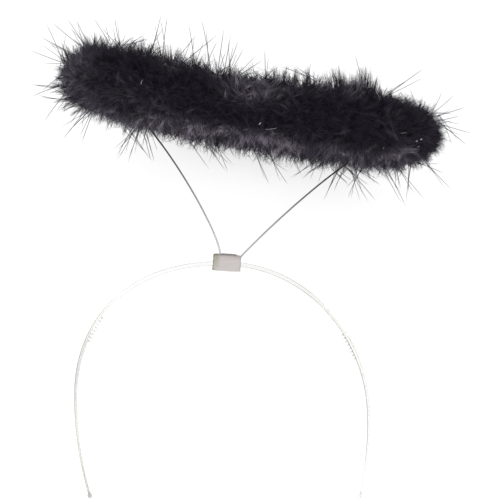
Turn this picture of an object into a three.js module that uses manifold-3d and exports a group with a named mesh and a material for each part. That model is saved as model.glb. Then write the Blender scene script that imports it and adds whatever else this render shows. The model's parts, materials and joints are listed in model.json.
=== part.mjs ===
// A halo headband: a fluffy ring of black marabou, carried over a narrow clear headband by two steel
// wires in a V, whose feet are bound to the top of the band by a wrap of milky tape.
// Millimetres, +Z up. Everything is modelled as it is worn, with X to the right, Y to the back and the
// top of the band at zero, and is then laid down the way it rests by itself on a table: leaning back
// on the two ends of the band and on the back of the ring.

import * as THREE from 'three';
import { mergeVertices } from 'three/addons/utils/BufferGeometryUtils.js';
import Module from 'manifold-3d';

const wasm = await Module();
wasm.setup();

// Clearance between two pieces that touch
const GAP = 0.3;

// Headband: a moulded strip bent into an arch, with a knob at each end
const BAND_HALF_WIDTH = 72.5;
const BAND_HEIGHT = 115;
const BAND_THICKNESS = 2.1;
const BAND_DEPTH = 4.5;
const BAND_CHAMFER = 0.45;
const MOST_CHAMFER_SHARE = 0.6;
const BAND_SECTIONS = 56;
const KNOB_THICKNESS = 2.3;
const KNOB_DEPTH = 4;
const KNOB_LENGTH = 2.6;
// Each side of the arch falls from the top to its widest level as a superellipse and curls in below it.
// The level is a share of the height, and the curl a share of the half width.
const ARCH_SIDES = {
  left: { level: 0.58, squareness: 2.2, curl: 0.1 },
  right: { level: 0.66, squareness: 2, curl: 0.06 },
};
// The share of each side's curve that lies above its widest level
const ARCH_UPPER_SHARE = 0.6;
// How the band thins from its top to its ends, as shares of its thickness and depth
const BAND_TAPER = [
  { along: 0, thickness: 1, depth: 1 },
  { along: 0.5, thickness: 0.95, depth: 1 },
  { along: 0.7, thickness: 0.77, depth: 0.95 },
  { along: 0.86, thickness: 0.56, depth: 0.85 },
  { along: 1, thickness: 0.5, depth: 0.75 },
];

// Comb teeth on the band's inner face, measured along the band from the middle of the wrap
const TOOTH_COUNT = 8;
const TOOTH_START = 71.1;
const TOOTH_PITCH = 1.93;
const TOOTH_WIDTH = 0.85;
const TOOTH_DEPTH = 1.3;
const TOOTH_HEIGHT = 0.95;
const TOOTH_ROOT = 0.6;
const TOOTH_TIP_SHARE = 0.6;

// Tape wrap round the wires' feet and the band, a little to the right of the band's top
const WRAP_OFFSET = 2.4;
const WRAP_LENGTH = 13.2;
const WRAP_DEPTH = 7.6;
const WRAP_COVER = 0.55;
const WRAP_PAD = 2.95;
const WRAP_CORNER = 2.2;
const WRAP_CORNER_STEPS = 3;
const WRAP_TILT = 4;
// How full the wrap is along its length
const WRAP_SECTIONS = [
  { along: 0, fullness: 0.88 },
  { along: 0.04, fullness: 0.95 },
  { along: 0.12, fullness: 0.96 },
  { along: 0.15, fullness: 1 },
  { along: 0.7, fullness: 1 },
  { along: 0.74, fullness: 0.96 },
  { along: 0.96, fullness: 0.95 },
  { along: 1, fullness: 0.9 },
];

// Steel stems: a foot that lies in the wrap, a bend, and a long curve up and out to the ring
const WIRE_SIDES = 8;
const STEM_RADIUS = 0.4;
const STEM_STEPS = 16;
const STEM_BEND = 1.6;
// Tape between the lower foot and the band, how far the upper foot lies above the lower one, and how far
// each lies in front of or behind the middle, of which a share is left where the stem's curve begins
const FOOT_BED = 0.3;
const FOOT_STEP = 1;
const FOOT_SPREAD = 1;
const KNEE_SPREAD_SHARE = 0.6;
const HALO_TILT = 9.3;
// Where the feet bend up and end, as shares of half the wrap's length, and the pulls of the curve as
// shares of the ring's radius and height
const STEMS = {
  left: {
    side: -1, bend: -0.52, end: 0.66, footStep: 1, outLow: 0.091, upLow: 0.215, outHigh: 0.67, upHigh: 0.955,
  },
  right: {
    side: 1, bend: 0.83, end: -0.55, footStep: 0, outLow: 0.144, upLow: 0.157, outHigh: 0.7, upHigh: 0.95,
  },
};

// Ring wire, hidden in the marabou, whose front and back hang a little lower than its sides
const RING_RADIUS = 79;
const RING_HEIGHT = 77.3;
const RING_SAG = 3.5;
const RING_WIRE_RADIUS = 0.6;
const RING_STEPS = 48;

// Marabou: pointed locks side by side all over the ring, with valleys between them. Reaches are shares
// of the marabou's radius, and a lock's tip leans by a share of the space between two locks.
const FUR_RADIUS = 16;
const LOCKS_ROUND = 60;
const LOCKS_ACROSS = 8;
const VALLEY_REACH = 0.84;
const LOCK_REACH = 1.09;
const LOCK_REACH_SCATTER = 0.1;
const LOCK_LEAN = 0.4;
// How full the marabou is round the ring, in degrees from its right side by way of its back
const FULLNESS = [
  { turn: 0, fullness: 0.88 },
  { turn: 30, fullness: 1.06 },
  { turn: 60, fullness: 1.04 },
  { turn: 90, fullness: 0.9 },
  { turn: 120, fullness: 1 },
  { turn: 150, fullness: 1.06 },
  { turn: 180, fullness: 0.97 },
  { turn: 210, fullness: 1.05 },
  { turn: 240, fullness: 1 },
  { turn: 270, fullness: 0.9 },
  { turn: 300, fullness: 1.02 },
  { turn: 330, fullness: 1.08 },
  { turn: 360, fullness: 0.88 },
];
// Single tufts that stand out further: degrees round the ring, degrees round the body from its outer
// side by way of its top, and their reach as a share of the marabou's radius
const TUFT_WIDTH = 7;
const TUFT_SIDES = 5;
const TUFT_LEAN = 0.5;
const TUFTS = [
  { turn: 303, roll: 88, reach: 1.36 },
  { turn: 315, roll: 96, reach: 1.44 },
  { turn: 287, roll: 80, reach: 1.26 },
  { turn: 272, roll: 96, reach: 1.24 },
  { turn: 196, roll: 130, reach: 1.22 },
  { turn: 128, roll: 60, reach: 1.24 },
  { turn: 48, roll: 100, reach: 1.24 },
];

const FINISHES = {
  clearPlastic: { color: 0xf1f3f1, roughness: 0.08, metalness: 0, transparent: true, opacity: 0.35 },
  milkyTape: { color: 0xcfc6c5, roughness: 0.4, metalness: 0, transparent: true, opacity: 0.9 },
  steel: { color: 0x8f9194, roughness: 0.3, metalness: 1 },
  marabou: { color: 0x1e1b23, roughness: 0.95, metalness: 0 },
};

const radians = THREE.MathUtils.degToRad;
const vector = (x, y, z) => new THREE.Vector3(x, y, z);

// A number from -1 to 1 that jumps about with its seed and is the same every time
function scatter(seed) {
  const wave = Math.sin(seed * 12.9898) * 43758.5453;
  return 2 * (wave - Math.floor(wave)) - 1;
}

// The values of a table at a place between two of its rows
function readTable(rows, key, place) {
  const last = rows.length - 1;
  const next = THREE.MathUtils.clamp(rows.findIndex((row) => row[key] >= place), 1, last);
  const [from, to] = [rows[next - 1], rows[next]];
  const mix = THREE.MathUtils.smoothstep(place, from[key], to[key]);
  const between = (column) => THREE.MathUtils.lerp(from[column], to[column], mix);
  return Object.fromEntries(Object.keys(from).map((column) => [column, between(column)]));
}

function toSolid(geometry) {
  const bare = geometry.clone();
  bare.deleteAttribute('normal');
  bare.deleteAttribute('uv');
  const merged = mergeVertices(bare, 1e-4);
  return new wasm.Manifold(new wasm.Mesh({
    numProp: 3,
    vertProperties: merged.attributes.position.array,
    triVerts: new Uint32Array(merged.index.array),
  }));
}

function toGeometry(solid) {
  const { vertProperties, triVerts } = solid.getMesh();
  const geometry = new THREE.BufferGeometry();
  geometry.setAttribute('position', new THREE.BufferAttribute(vertProperties, 3));
  geometry.setIndex(new THREE.BufferAttribute(triVerts, 1));
  geometry.computeVertexNormals();
  return geometry;
}

const join = (solids) => solids.reduce((whole, solid) => whole.add(solid));

function namedMesh(name, geometry, finish) {
  const mesh = new THREE.Mesh(geometry, new THREE.MeshStandardMaterial(FINISHES[finish]));
  mesh.name = name;
  return mesh;
}

// A closed solid through rings of points, each running anticlockwise as seen against the way forward
function loft(rings) {
  const count = rings[0].length;
  const lastRing = (rings.length - 1) * count;
  const index = [];
  for (let start = 0; start < lastRing; start += count) {
    for (let i = 0; i < count; i += 1) {
      const here = start + i;
      const beside = start + (i + 1) % count;
      index.push(here, beside, beside + count, here, beside + count, here + count);
    }
  }
  for (let i = 1; i + 1 < count; i += 1) {
    index.push(0, i + 1, i, lastRing, lastRing + i, lastRing + i + 1);
  }
  const geometry = new THREE.BufferGeometry();
  const numbers = rings.flat().flatMap((point) => point.toArray());
  geometry.setAttribute('position', new THREE.Float32BufferAttribute(numbers, 3));
  geometry.setIndex(index);
  return geometry;
}

// The outer line of the headband, from its left end over its top to its right end
class ArchLine extends THREE.Curve {
  getPoint(t, target = new THREE.Vector3()) {
    const side = t < 0.5 ? -1 : 1;
    const { level, squareness, curl } = t < 0.5 ? ARCH_SIDES.left : ARCH_SIDES.right;
    const widest = BAND_HEIGHT * level;
    const fromTop = Math.abs(2 * t - 1);
    if (fromTop < ARCH_UPPER_SHARE) {
      const turn = (fromTop / ARCH_UPPER_SHARE) * (Math.PI / 2);
      const out = Math.sin(turn) ** (2 / squareness);
      const up = Math.cos(turn) ** (2 / squareness);
      return target.set(side * BAND_HALF_WIDTH * out, 0, -widest * (1 - up));
    }
    const below = (fromTop - ARCH_UPPER_SHARE) / (1 - ARCH_UPPER_SHARE);
    const out = 1 - curl * below ** 2;
    return target.set(side * BAND_HALF_WIDTH * out, 0, -widest - (BAND_HEIGHT - widest) * below);
  }
}

const arch = new ArchLine();
arch.arcLengthDivisions = 800;
const bandLength = arch.getLength();
const lengthToTop = arch.getLengths()[arch.arcLengthDivisions / 2];

// The band at a distance along it from its top: its middle, the way in to the head, and its size
function bandAt(distance) {
  const share = THREE.MathUtils.clamp((lengthToTop + distance) / bandLength, 0, 1);
  const forward = arch.getTangentAt(share);
  const inward = vector(forward.z, 0, -forward.x);
  const taper = readTable(BAND_TAPER, 'along', Math.abs(2 * share - 1));
  const thickness = BAND_THICKNESS * taper.thickness;
  const middle = arch.getPointAt(share).addScaledVector(inward, thickness / 2);
  return { middle, inward, thickness, depth: BAND_DEPTH * taper.depth };
}

function bandSolid(grown) {
  const rings = [];
  for (let i = 0; i <= BAND_SECTIONS; i += 1) {
    const { middle, inward, thickness, depth } = bandAt(bandLength * i / BAND_SECTIONS - lengthToTop);
    const [thick, deep] = [thickness / 2 + grown, depth / 2 + grown];
    const chamfer = Math.min(BAND_CHAMFER, thick * MOST_CHAMFER_SHARE);
    const outline = [
      [-thick, deep - chamfer], [-thick, chamfer - deep],
      [chamfer - thick, -deep], [thick - chamfer, -deep],
      [thick, chamfer - deep], [thick, deep - chamfer],
      [thick - chamfer, deep], [chamfer - thick, deep],
    ];
    rings.push(outline.map(([inwards, back]) => (
      middle.clone().addScaledVector(inward, inwards).add(vector(0, back, 0)))));
  }
  return toSolid(loft(rings));
}

function toothSolid(side, number) {
  const { middle, inward, thickness } = bandAt(WRAP_OFFSET + side * (TOOTH_START + number * TOOTH_PITCH));
  const height = TOOTH_HEIGHT + TOOTH_ROOT;
  const tooth = new THREE.CylinderGeometry(TOOTH_TIP_SHARE / 2, 0.5, height, 6);
  tooth.scale(TOOTH_WIDTH, 1, TOOTH_DEPTH);
  const back = vector(0, 1, 0);
  const place = new THREE.Matrix4().makeBasis(inward.clone().cross(back), inward, back);
  place.setPosition(middle.addScaledVector(inward, thickness / 2 - TOOTH_ROOT + height / 2));
  return toSolid(tooth.applyMatrix4(place));
}

function endKnob(distance) {
  const { middle } = bandAt(distance);
  const knob = new THREE.SphereGeometry(0.5, 12, 8);
  knob.scale(KNOB_THICKNESS, KNOB_DEPTH, KNOB_LENGTH);
  return toSolid(knob.translate(middle.x, middle.y, middle.z));
}

function headband() {
  const solids = [bandSolid(0), endKnob(-lengthToTop), endKnob(bandLength - lengthToTop)];
  for (let number = 0; number < TOOTH_COUNT; number += 1) {
    solids.push(toothSolid(-1, number), toothSolid(1, number));
  }
  return namedMesh('headband', toGeometry(join(solids)), 'clearPlastic');
}

// The wrap and the halo turn about the same point, in the middle of the band's thickness
const bound = bandAt(WRAP_OFFSET);
const wrapFrame = new THREE.Matrix4().makeRotationY(radians(WRAP_TILT)).setPosition(bound.middle);
const haloFrame = new THREE.Matrix4().makeRotationY(radians(HALO_TILT)).setPosition(bound.middle);
const wrapToHalo = haloFrame.clone().invert().multiply(wrapFrame);

const lowFootRise = bound.thickness / 2 + GAP + FOOT_BED + GAP + STEM_RADIUS;
const wrapTop = lowFootRise + FOOT_STEP + STEM_RADIUS + GAP + WRAP_COVER;
const wrapBottom = -bound.thickness / 2 - WRAP_PAD;

// A stem's middle line in the halo's frame; spare lengthens both of its ends
function stemPoints({ side, bend, end, footStep, outLow, upLow, outHigh, upHigh }, spare) {
  const y = FOOT_SPREAD * side;
  const z = lowFootRise + FOOT_STEP * footStep;
  const half = WRAP_LENGTH / 2;
  const footEnd = vector(half * end - side * spare, y, z).applyMatrix4(wrapToHalo);
  const corner = vector(half * bend, y, z).applyMatrix4(wrapToHalo);
  const low = vector(side * RING_RADIUS * outLow, y * KNEE_SPREAD_SHARE, RING_HEIGHT * upLow);
  const high = vector(side * RING_RADIUS * outHigh, 0, RING_HEIGHT * upHigh);
  const out = RING_RADIUS - RING_WIRE_RADIUS - GAP + spare;
  const top = vector(side * out, 0, RING_HEIGHT - 2 * STEM_RADIUS);
  const towards = (goal) => corner.clone().add(goal.clone().sub(corner).setLength(STEM_BEND));
  const path = new THREE.CurvePath();
  path.add(new THREE.LineCurve3(footEnd, towards(footEnd)));
  path.add(new THREE.QuadraticBezierCurve3(towards(footEnd), corner, towards(low)));
  path.add(new THREE.CubicBezierCurve3(towards(low), low, high, top));
  return path.getPoints(STEM_STEPS);
}

// A many-sided tube along points that keep near one upright plane
function stemTube(points, radius) {
  const rings = points.map((point, i) => {
    const before = points[Math.max(i - 1, 0)];
    const after = points[Math.min(i + 1, points.length - 1)];
    const forward = after.clone().sub(before).normalize();
    const across = forward.clone().cross(vector(0, 1, 0)).normalize();
    const back = across.clone().cross(forward);
    return Array.from({ length: WIRE_SIDES }, (_, k) => {
      const turn = 2 * Math.PI * (k + 0.5) / WIRE_SIDES;
      return point.clone()
        .addScaledVector(back, radius * Math.cos(turn))
        .addScaledVector(across, radius * Math.sin(turn));
    });
  });
  return loft(rings);
}

const stem = (name, row) => namedMesh(name, stemTube(stemPoints(row, 0), STEM_RADIUS), 'steel');
const stemChannel = (row) => stemTube(stemPoints(row, 2 * GAP), STEM_RADIUS + GAP);

// The wrap's outline across the band: a rounded block with a flat top and a flat bottom
function wrapRing(along, fullness) {
  const middleRise = (wrapTop + wrapBottom) / 2;
  const halfDepth = WRAP_DEPTH / 2 * fullness;
  const halfHeight = (wrapTop - wrapBottom) / 2 * fullness;
  const points = [];
  for (let corner = 0; corner < 4; corner += 1) {
    const y = (corner === 0 || corner === 3 ? 1 : -1) * (halfDepth - WRAP_CORNER);
    const z = (corner < 2 ? 1 : -1) * (halfHeight - WRAP_CORNER);
    for (let i = 0; i <= WRAP_CORNER_STEPS; i += 1) {
      const turn = (corner + i / WRAP_CORNER_STEPS) * (Math.PI / 2);
      points.push(vector(
        WRAP_LENGTH * (along - 0.5),
        y + WRAP_CORNER * Math.cos(turn),
        middleRise + z + WRAP_CORNER * Math.sin(turn),
      ));
    }
  }
  return points;
}

function crownWrap() {
  const body = toSolid(loft(WRAP_SECTIONS.map(({ along, fullness }) => wrapRing(along, fullness))));
  const bandSlot = toGeometry(bandSolid(GAP)).applyMatrix4(wrapFrame.clone().invert());
  const haloToWrap = wrapToHalo.clone().invert();
  const cuts = [STEMS.left, STEMS.right].map((row) => toSolid(stemChannel(row).applyMatrix4(haloToWrap)));
  const open = body.subtract(join([toSolid(bandSlot), ...cuts]));
  const mesh = namedMesh('crown_wrap', toGeometry(open), 'milkyTape');
  mesh.applyMatrix4(wrapFrame);
  return mesh;
}

// The way out of the ring's middle line at a turn round the ring and a roll round that line
function wayOut(turn, roll) {
  return vector(Math.cos(turn) * Math.cos(roll), Math.sin(turn) * Math.cos(roll), Math.sin(roll));
}

// A point at a reach from the ring's middle line, in the halo's frame
function ringPoint(turn, roll, reach) {
  const rise = RING_HEIGHT - RING_SAG * Math.sin(turn) ** 2;
  const middleLine = vector(RING_RADIUS * Math.cos(turn), RING_RADIUS * Math.sin(turn), rise);
  return middleLine.addScaledVector(wayOut(turn, roll), reach);
}

// A closed tube round the ring, whose shape gives the turn, roll and reach of each of its corners
function ringTube(sides, steps, shape) {
  const tube = new THREE.TorusGeometry(RING_RADIUS, 1, sides, steps);
  const places = tube.attributes.position;
  for (let i = 0; i < places.count; i += 1) {
    const column = (i % (steps + 1)) % steps;
    const row = Math.floor(i / (steps + 1)) % sides;
    const { turn, roll, reach } = shape(column, row);
    places.setXYZ(i, ...ringPoint(turn, roll, reach).toArray());
  }
  return tube;
}

function plainRing(reach) {
  return ringTube(WIRE_SIDES, RING_STEPS, (column, row) => ({
    turn: 2 * Math.PI * column / RING_STEPS,
    roll: 2 * Math.PI * row / WIRE_SIDES,
    reach,
  }));
}

const ringWire = () => namedMesh('ring_wire', plainRing(RING_WIRE_RADIUS), 'steel');

function furRadius(turn) {
  const degrees = THREE.MathUtils.radToDeg(turn);
  return FUR_RADIUS * readTable(FULLNESS, 'turn', THREE.MathUtils.euclideanModulo(degrees, 360)).fullness;
}

// Every second corner is the leaning tip of a lock, and the others are the valleys between locks
function coatOfLocks() {
  const [steps, sides] = [2 * LOCKS_ROUND, 2 * LOCKS_ACROSS];
  return ringTube(sides, steps, (column, row) => {
    const seed = row * steps + column + 1;
    const isTip = (column + row) % 2 === 0;
    const lean = isTip ? LOCK_LEAN : LOCK_LEAN / 2;
    const turn = 2 * Math.PI * (column + 2 * lean * scatter(seed)) / steps;
    const roll = 2 * Math.PI * (row + 2 * lean * scatter(seed + 0.25)) / sides;
    const tipReach = LOCK_REACH + LOCK_REACH_SCATTER * scatter(seed + 0.5);
    return { turn, roll, reach: furRadius(turn) * (isTip ? tipReach : VALLEY_REACH) };
  });
}

// A single pointed tuft, rooted half way down to the ring, its tip leaning along the ring
function tuft(turn, roll, reach) {
  const root = furRadius(turn) / 2;
  const height = furRadius(turn) * reach - root;
  const cone = new THREE.ConeGeometry(TUFT_WIDTH / 2, height, TUFT_SIDES, 2);
  const places = cone.attributes.position;
  for (let i = 0; i < places.count; i += 1) {
    const rise = places.getY(i) / height + 0.5;
    places.setX(i, places.getX(i) + TUFT_WIDTH * TUFT_LEAN * rise ** 2);
  }
  const along = vector(-Math.sin(turn), Math.cos(turn), 0);
  const out = wayOut(turn, roll);
  const place = new THREE.Matrix4().makeBasis(along, out, along.clone().cross(out));
  place.setPosition(ringPoint(turn, roll, root + height / 2));
  return toSolid(cone.applyMatrix4(place));
}

function marabouRing() {
  const tufts = TUFTS.map(({ turn, roll, reach }) => tuft(radians(turn), radians(roll), reach));
  const coat = join([toSolid(coatOfLocks()), ...tufts]);
  const stemChannels = [STEMS.left, STEMS.right].map((row) => toSolid(stemChannel(row)));
  const channels = join([toSolid(plainRing(RING_WIRE_RADIUS + GAP)), ...stemChannels]);
  return namedMesh('marabou_ring', toGeometry(coat.subtract(channels)), 'marabou');
}

const band = new THREE.Group();
band.add(headband(), crownWrap());
const halo = new THREE.Group();
halo.add(stem('left_stem', STEMS.left), stem('right_stem', STEMS.right), ringWire(), marabouRing());
halo.applyMatrix4(haloFrame);

// How far a group reaches down once the whole thing leans back by an angle
function reachDown(group, lean) {
  const down = vector(0, Math.sin(lean), -Math.cos(lean));
  const point = vector();
  let reach = -Infinity;
  group.updateMatrixWorld(true);
  group.traverse((piece) => {
    const places = piece.isMesh ? piece.geometry.attributes.position : { count: 0 };
    for (let i = 0; i < places.count; i += 1) {
      point.fromBufferAttribute(places, i).applyMatrix4(piece.matrixWorld);
      reach = Math.max(reach, point.dot(down));
    }
  });
  return reach;
}

// The lean at which the ring and the ends of the band touch the table together, found by halving
function restingLean() {
  let upright = 0;
  let flat = Math.PI / 2;
  for (let i = 0; i < 40; i += 1) {
    const lean = (upright + flat) / 2;
    if (reachDown(halo, lean) > reachDown(band, lean)) {
      flat = lean;
    } else {
      upright = lean;
    }
  }
  return upright;
}

const lean = restingLean();
const worn = new THREE.Group();
worn.add(band, halo);
worn.rotation.x = -lean;

// The whole thing, with the middle of its underside at the origin
const haloHeadband = new THREE.Group();
haloHeadband.add(worn);
const box = new THREE.Box3().setFromObject(haloHeadband, true);
const boxCentre = box.getCenter(vector());
worn.position.set(-boxCentre.x, -boxCentre.y, -box.min.z);

export default haloHeadband;
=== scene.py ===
"""Halo headband: a clear plastic band that carries a fluffy black ring on two steel wires.

The pieces are worked out in the band's own upright frame, where X runs to the wearer's left as the viewer sees it from the
front, Y runs back and Z runs up, with the top of the band at the origin. They are then leaned back with the packed model.
All lengths are in metres.
"""

import json
import math

import bpy
import numpy as np
from bpy.props import FloatProperty, FloatVectorProperty, IntProperty, PointerProperty
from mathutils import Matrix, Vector


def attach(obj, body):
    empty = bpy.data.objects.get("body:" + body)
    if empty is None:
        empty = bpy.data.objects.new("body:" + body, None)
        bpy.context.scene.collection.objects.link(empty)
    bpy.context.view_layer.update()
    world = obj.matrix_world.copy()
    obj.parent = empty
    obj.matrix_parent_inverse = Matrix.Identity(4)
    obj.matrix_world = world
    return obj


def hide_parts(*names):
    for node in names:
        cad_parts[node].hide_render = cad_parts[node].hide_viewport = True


bl_info = {
    "name": "Halo headband",
    "version": (1, 0, 0),
    "blender": (4, 5, 0),
    "location": "3D View > Sidebar > Halo",
    "description": "Builds the looks of a halo headband round its packed model",
    "category": "Add Mesh",
}

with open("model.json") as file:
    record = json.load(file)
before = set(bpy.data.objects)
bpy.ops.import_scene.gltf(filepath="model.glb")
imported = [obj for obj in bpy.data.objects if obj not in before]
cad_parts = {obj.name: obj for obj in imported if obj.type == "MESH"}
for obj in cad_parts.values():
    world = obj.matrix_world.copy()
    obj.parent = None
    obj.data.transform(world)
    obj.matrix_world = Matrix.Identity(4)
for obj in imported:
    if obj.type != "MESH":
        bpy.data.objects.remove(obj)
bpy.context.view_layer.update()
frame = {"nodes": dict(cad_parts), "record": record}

BODY = "root"
SEAT = next(mount for mount in frame["record"]["mounts"] if mount["name"] == "crown_seat")
# The lean of the packed model, from the direction that its seat faces
LEAN = math.atan2(-SEAT["axis"][1], -SEAT["axis"][2])


def length(label, default, about):
    """A length that a user may change."""
    return FloatProperty(name=label, description=about, default=default, unit="LENGTH", precision=5)


def share(label, default, about):
    """A share of something else, from 0 to 1 as a rule."""
    return FloatProperty(name=label, description=about, default=default, precision=3)


def angle(label, degrees, about):
    """An angle that a user may change."""
    return FloatProperty(name=label, description=about, default=math.radians(degrees), subtype="ANGLE")


def count(label, default, about):
    """How many there are of something."""
    return IntProperty(name=label, description=about, default=default, min=1)


def colour(label, default, about):
    """A colour that a user may change."""
    return FloatVectorProperty(
        name=label, description=about, default=default, size=4, subtype="COLOR", min=0, max=1)


class BandSizes(bpy.types.PropertyGroup):
    """The clear plastic band and its comb teeth"""

    half_width: length("Half width", 0.0725, "From the middle to the widest place of a side")
    height: length("Height", 0.115, "From the ends of the band to its top")
    thickness: length("Thickness", 0.0021, "Of the strip at its top")
    depth: length("Depth", 0.0045, "Of the strip at its top, from front to back")
    knob_thickness: length("Knob thickness", 0.0023, "Of the knob at each end")
    knob_depth: length("Knob depth", 0.004, "Of the knob at each end, from front to back")
    knob_length: length("Knob length", 0.0026, "Of the knob at each end, along the band")
    tooth_count: count("Teeth", 8, "Comb teeth on each side")
    tooth_start: length("Teeth from", 0.0711, "Along the band, from the middle of the tape to the first tooth")
    tooth_pitch: length("Tooth pitch", 0.00193, "From one tooth to the next")
    tooth_width: length("Tooth width", 0.00085, "Of a tooth, along the band")
    tooth_depth: length("Tooth depth", 0.0013, "Of a tooth, from front to back")
    tooth_height: length("Tooth height", 0.00095, "How far a tooth stands in from the band")


class TapeSizes(bpy.types.PropertyGroup):
    """The tape that is wound round the band and the feet of the wires"""

    offset: length("Offset", 0.0024, "Of the tape's middle to the right of the band's top")
    width: length("Width", 0.0132, "Of the tape, along the band")
    depth: length("Depth", 0.0076, "Of the whole wrap, from front to back")
    cover: length("Cover", 0.00055, "Of tape over the upper foot")
    pad: length("Pad", 0.00295, "Of tape under the band")
    tilt: angle("Tilt", 4, "Of the wrap, to the right")
    turns: share("Turns", 5.35, "How often the tape goes round")
    layer: length("Layer", 0.00024, "Of one turn, its glue included")


class WireSizes(bpy.types.PropertyGroup):
    """The two stems and the ring that they carry"""

    radius: length("Stem radius", 0.0004, "Of the steel wire")
    bend: length("Bend", 0.0016, "Of the wire where its foot turns up")
    foot_step: length("Foot step", 0.001, "How far the upper foot lies above the lower one")
    foot_spread: length("Foot spread", 0.001, "How far a foot lies in front of or behind the middle")
    foot_bed: length("Foot bed", 0.0009, "Between the band and the lower foot, gaps included")
    tilt: angle("Tilt", 9.3, "Of the halo, to the right")
    ring_radius: length("Ring radius", 0.079, "Of the middle line of the ring")
    ring_height: length("Ring height", 0.0773, "From the band to the ring")
    ring_sag: length("Ring sag", 0.0035, "How far the front and back of the ring hang below its sides")
    ring_gap: length("Ring gap", 0.0009, "From the ring's middle line to the ends of the stems")


class MarabouSizes(bpy.types.PropertyGroup):
    """The fluffy ring"""

    radius: length("Radius", 0.016, "Of the marabou round the ring's middle line")
    core: share("Core", 0.74, "Of the dense down, as a share of the radius")
    slim_left: share("Slimmer left end", 0.34, "How much less marabou there is under the left end")
    slim_right: share("Slimmer right end", 0.26, "How much less marabou there is at the right end")
    down_count: count("Down", 17000, "Barbs of down in each quarter of the ring")
    down_width: length("Down width", 0.0002, "Of a barb of down at its root")
    fringe_count: count("Fringe", 17600, "Longer barbs in each half of the ring")
    fringe_width: length("Fringe width", 0.0002, "Of a longer barb at its root")
    fuzz_count: count("Curling hairs", 3200, "How many fine hairs curl over on the marabou")
    guard_count: count("Guard hairs", 300, "Long straight hairs, besides the chosen ones")
    guard_width: length("Guard width", 0.00042, "Of a long hair at its root")
    floor_gap: length("Floor gap", 0.0003, "That the barbs keep from the table")


class Colours(bpy.types.PropertyGroup):
    """The colours of the finishes"""

    plastic: colour("Plastic", (0.93, 0.945, 0.935, 1), "Clear plastic")
    # Painted shade on the clear plastic where it is seen edge on
    rim: colour("Rim", (0.1, 0.1, 0.097, 1), "Clear plastic where it is seen edge on")
    # Painted shade on the knobs at the ends, the left one most
    knob: colour("Knob", (0.56, 0.56, 0.56, 1), "Clear plastic where it is thick, at the ends")
    tape: colour("Tape", (0.5, 0.452, 0.442, 1), "Milky tape")
    # Tape at its darker, olive edges
    tape_edge: colour("Tape edge", (0.25, 0.243, 0.165, 1), "Tape where its edges are dirty")
    steel: colour("Steel", (0.44, 0.436, 0.446, 1), "Drawn wire")
    # Painted shade on the wire near the marabou
    steel_shade: colour("Dark steel", (0.012, 0.012, 0.014, 1), "Drawn wire near the marabou")
    # Painted shade deep in the fur, at the roots of the barbs
    root: colour("Marabou root", (0.0054, 0.0037, 0.0092, 1), "Barbs where they are dense")
    tip: colour("Marabou tip", (0.0312, 0.0258, 0.0432, 1), "Barbs at their tips")
    # Partly pale barbs and partly painted sheen
    pale: colour("Marabou pale", (0.56, 0.5, 0.61, 1), "Barbs in the paler locks")
    quill: colour("Quill", (0.55, 0.55, 0.56, 1), "Bare quills in the down")
    floor: colour("Floor", (0.4, 0.4, 0.4, 1), "Table, besides its glow")


class StageSizes(bpy.types.PropertyGroup):
    """The table, the camera and the lights"""

    floor_size: length("Floor", 12, "Of the table, across")
    distance: length("Distance", 1.4, "Of the camera from the object")
    field: length("Field", 0.245, "What the picture shows from side to side, at the object")
    aim_x: length("Aim across", 0.0137, "What the camera looks at, in the upright frame")
    aim_z: length("Aim up", 0.0055, "What the camera looks at, in the upright frame")
    glow: share("Glow", 0.65, "How brightly the table is lit from below, as a light table is")


# Each side of the arch: its widest level as a share of the height, how square it falls to there, and how far it curls in
# below it
ARCH_LEVEL = (0.58, 0.66)
ARCH_SQUARENESS = (2.2, 2.0)
ARCH_CURL = (0.1, 0.06)
ARCH_UPPER_SHARE = 0.6
ARCH_STEPS = 1600
# The way back, from the viewer
BACK = np.array([0, 1, 0])
# How far a tooth goes into the band
TOOTH_ROOT = 0.0006
# How square the outline of the wrap is, and how high the tape's ridge over the upper foot
TAPE_SQUARENESS = 3.6
TAPE_RIDGE = 0.0003
# Steps in one turn of the tape, and places across each of its faces
STEPS_A_TURN, TAPE_COLUMNS = 64, 22
# Along a side of the band: the shares of its thickness and of its depth
BAND_TAPER = ((0, 1, 1), (0.5, 0.95, 1), (0.7, 0.77, 0.95), (0.86, 0.56, 0.85), (1, 0.5, 0.75))
# Degrees round the ring: how full the marabou is
FULLNESS = (
    (0, 0.8), (12, 0.9), (28, 1.2), (50, 1.14), (70, 1.02), (95, 0.97), (120, 1), (142, 1.14), (158, 1.03), (180, 0.91),
    (196, 0.94), (206, 1.02), (218, 1.12), (229, 1.2), (239, 0.95), (252, 0.93), (265, 0.87), (276, 0.96), (290, 1.06),
    (303, 1.1), (318, 1.06), (338, 1.02), (360, 0.8))
# Painted shade along the band, from its left end to its right: how grey its rims look, how much more so on the inner
# one, how grey it is between them, and how warm its outer rim looks
RIM_SHADES = (
    (-1, 0.6, -0.2, 0.62, 1), (-0.8, 0.8, -0.6, 0.48, 1), (-0.7, 0.9, -0.8, 0.36, 0.4), (-0.62, 1, -0.8, 0.36, 0),
    (-0.52, 1, -0.8, 0.36, 0.4), (-0.42, 0.7, -0.8, 0.22, 0.8), (-0.3, 0.2, 0, 0.03, 1), (-0.16, 0, 0, 0, 1),
    (-0.08, 0.1, 0, 0.03, 1), (0.05, 0.45, 0.1, 0.07, 1), (0.15, 0.6, 0.1, 0.06, 1), (0.23, 0.7, 0.1, 0.06, 1),
    (0.3, 1, 0.1, 0.16, 1), (0.44, 1, 0.1, 0.22, 1), (0.57, 0.9, 0.3, 0.12, 1), (0.7, 0.75, 0.4, 0.14, 0.6),
    (0.82, 0.7, 0.5, 0.16, 0), (0.95, 0.2, 0.3, 0.06, 0), (1, 0.05, 0.3, 0, 0))
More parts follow.
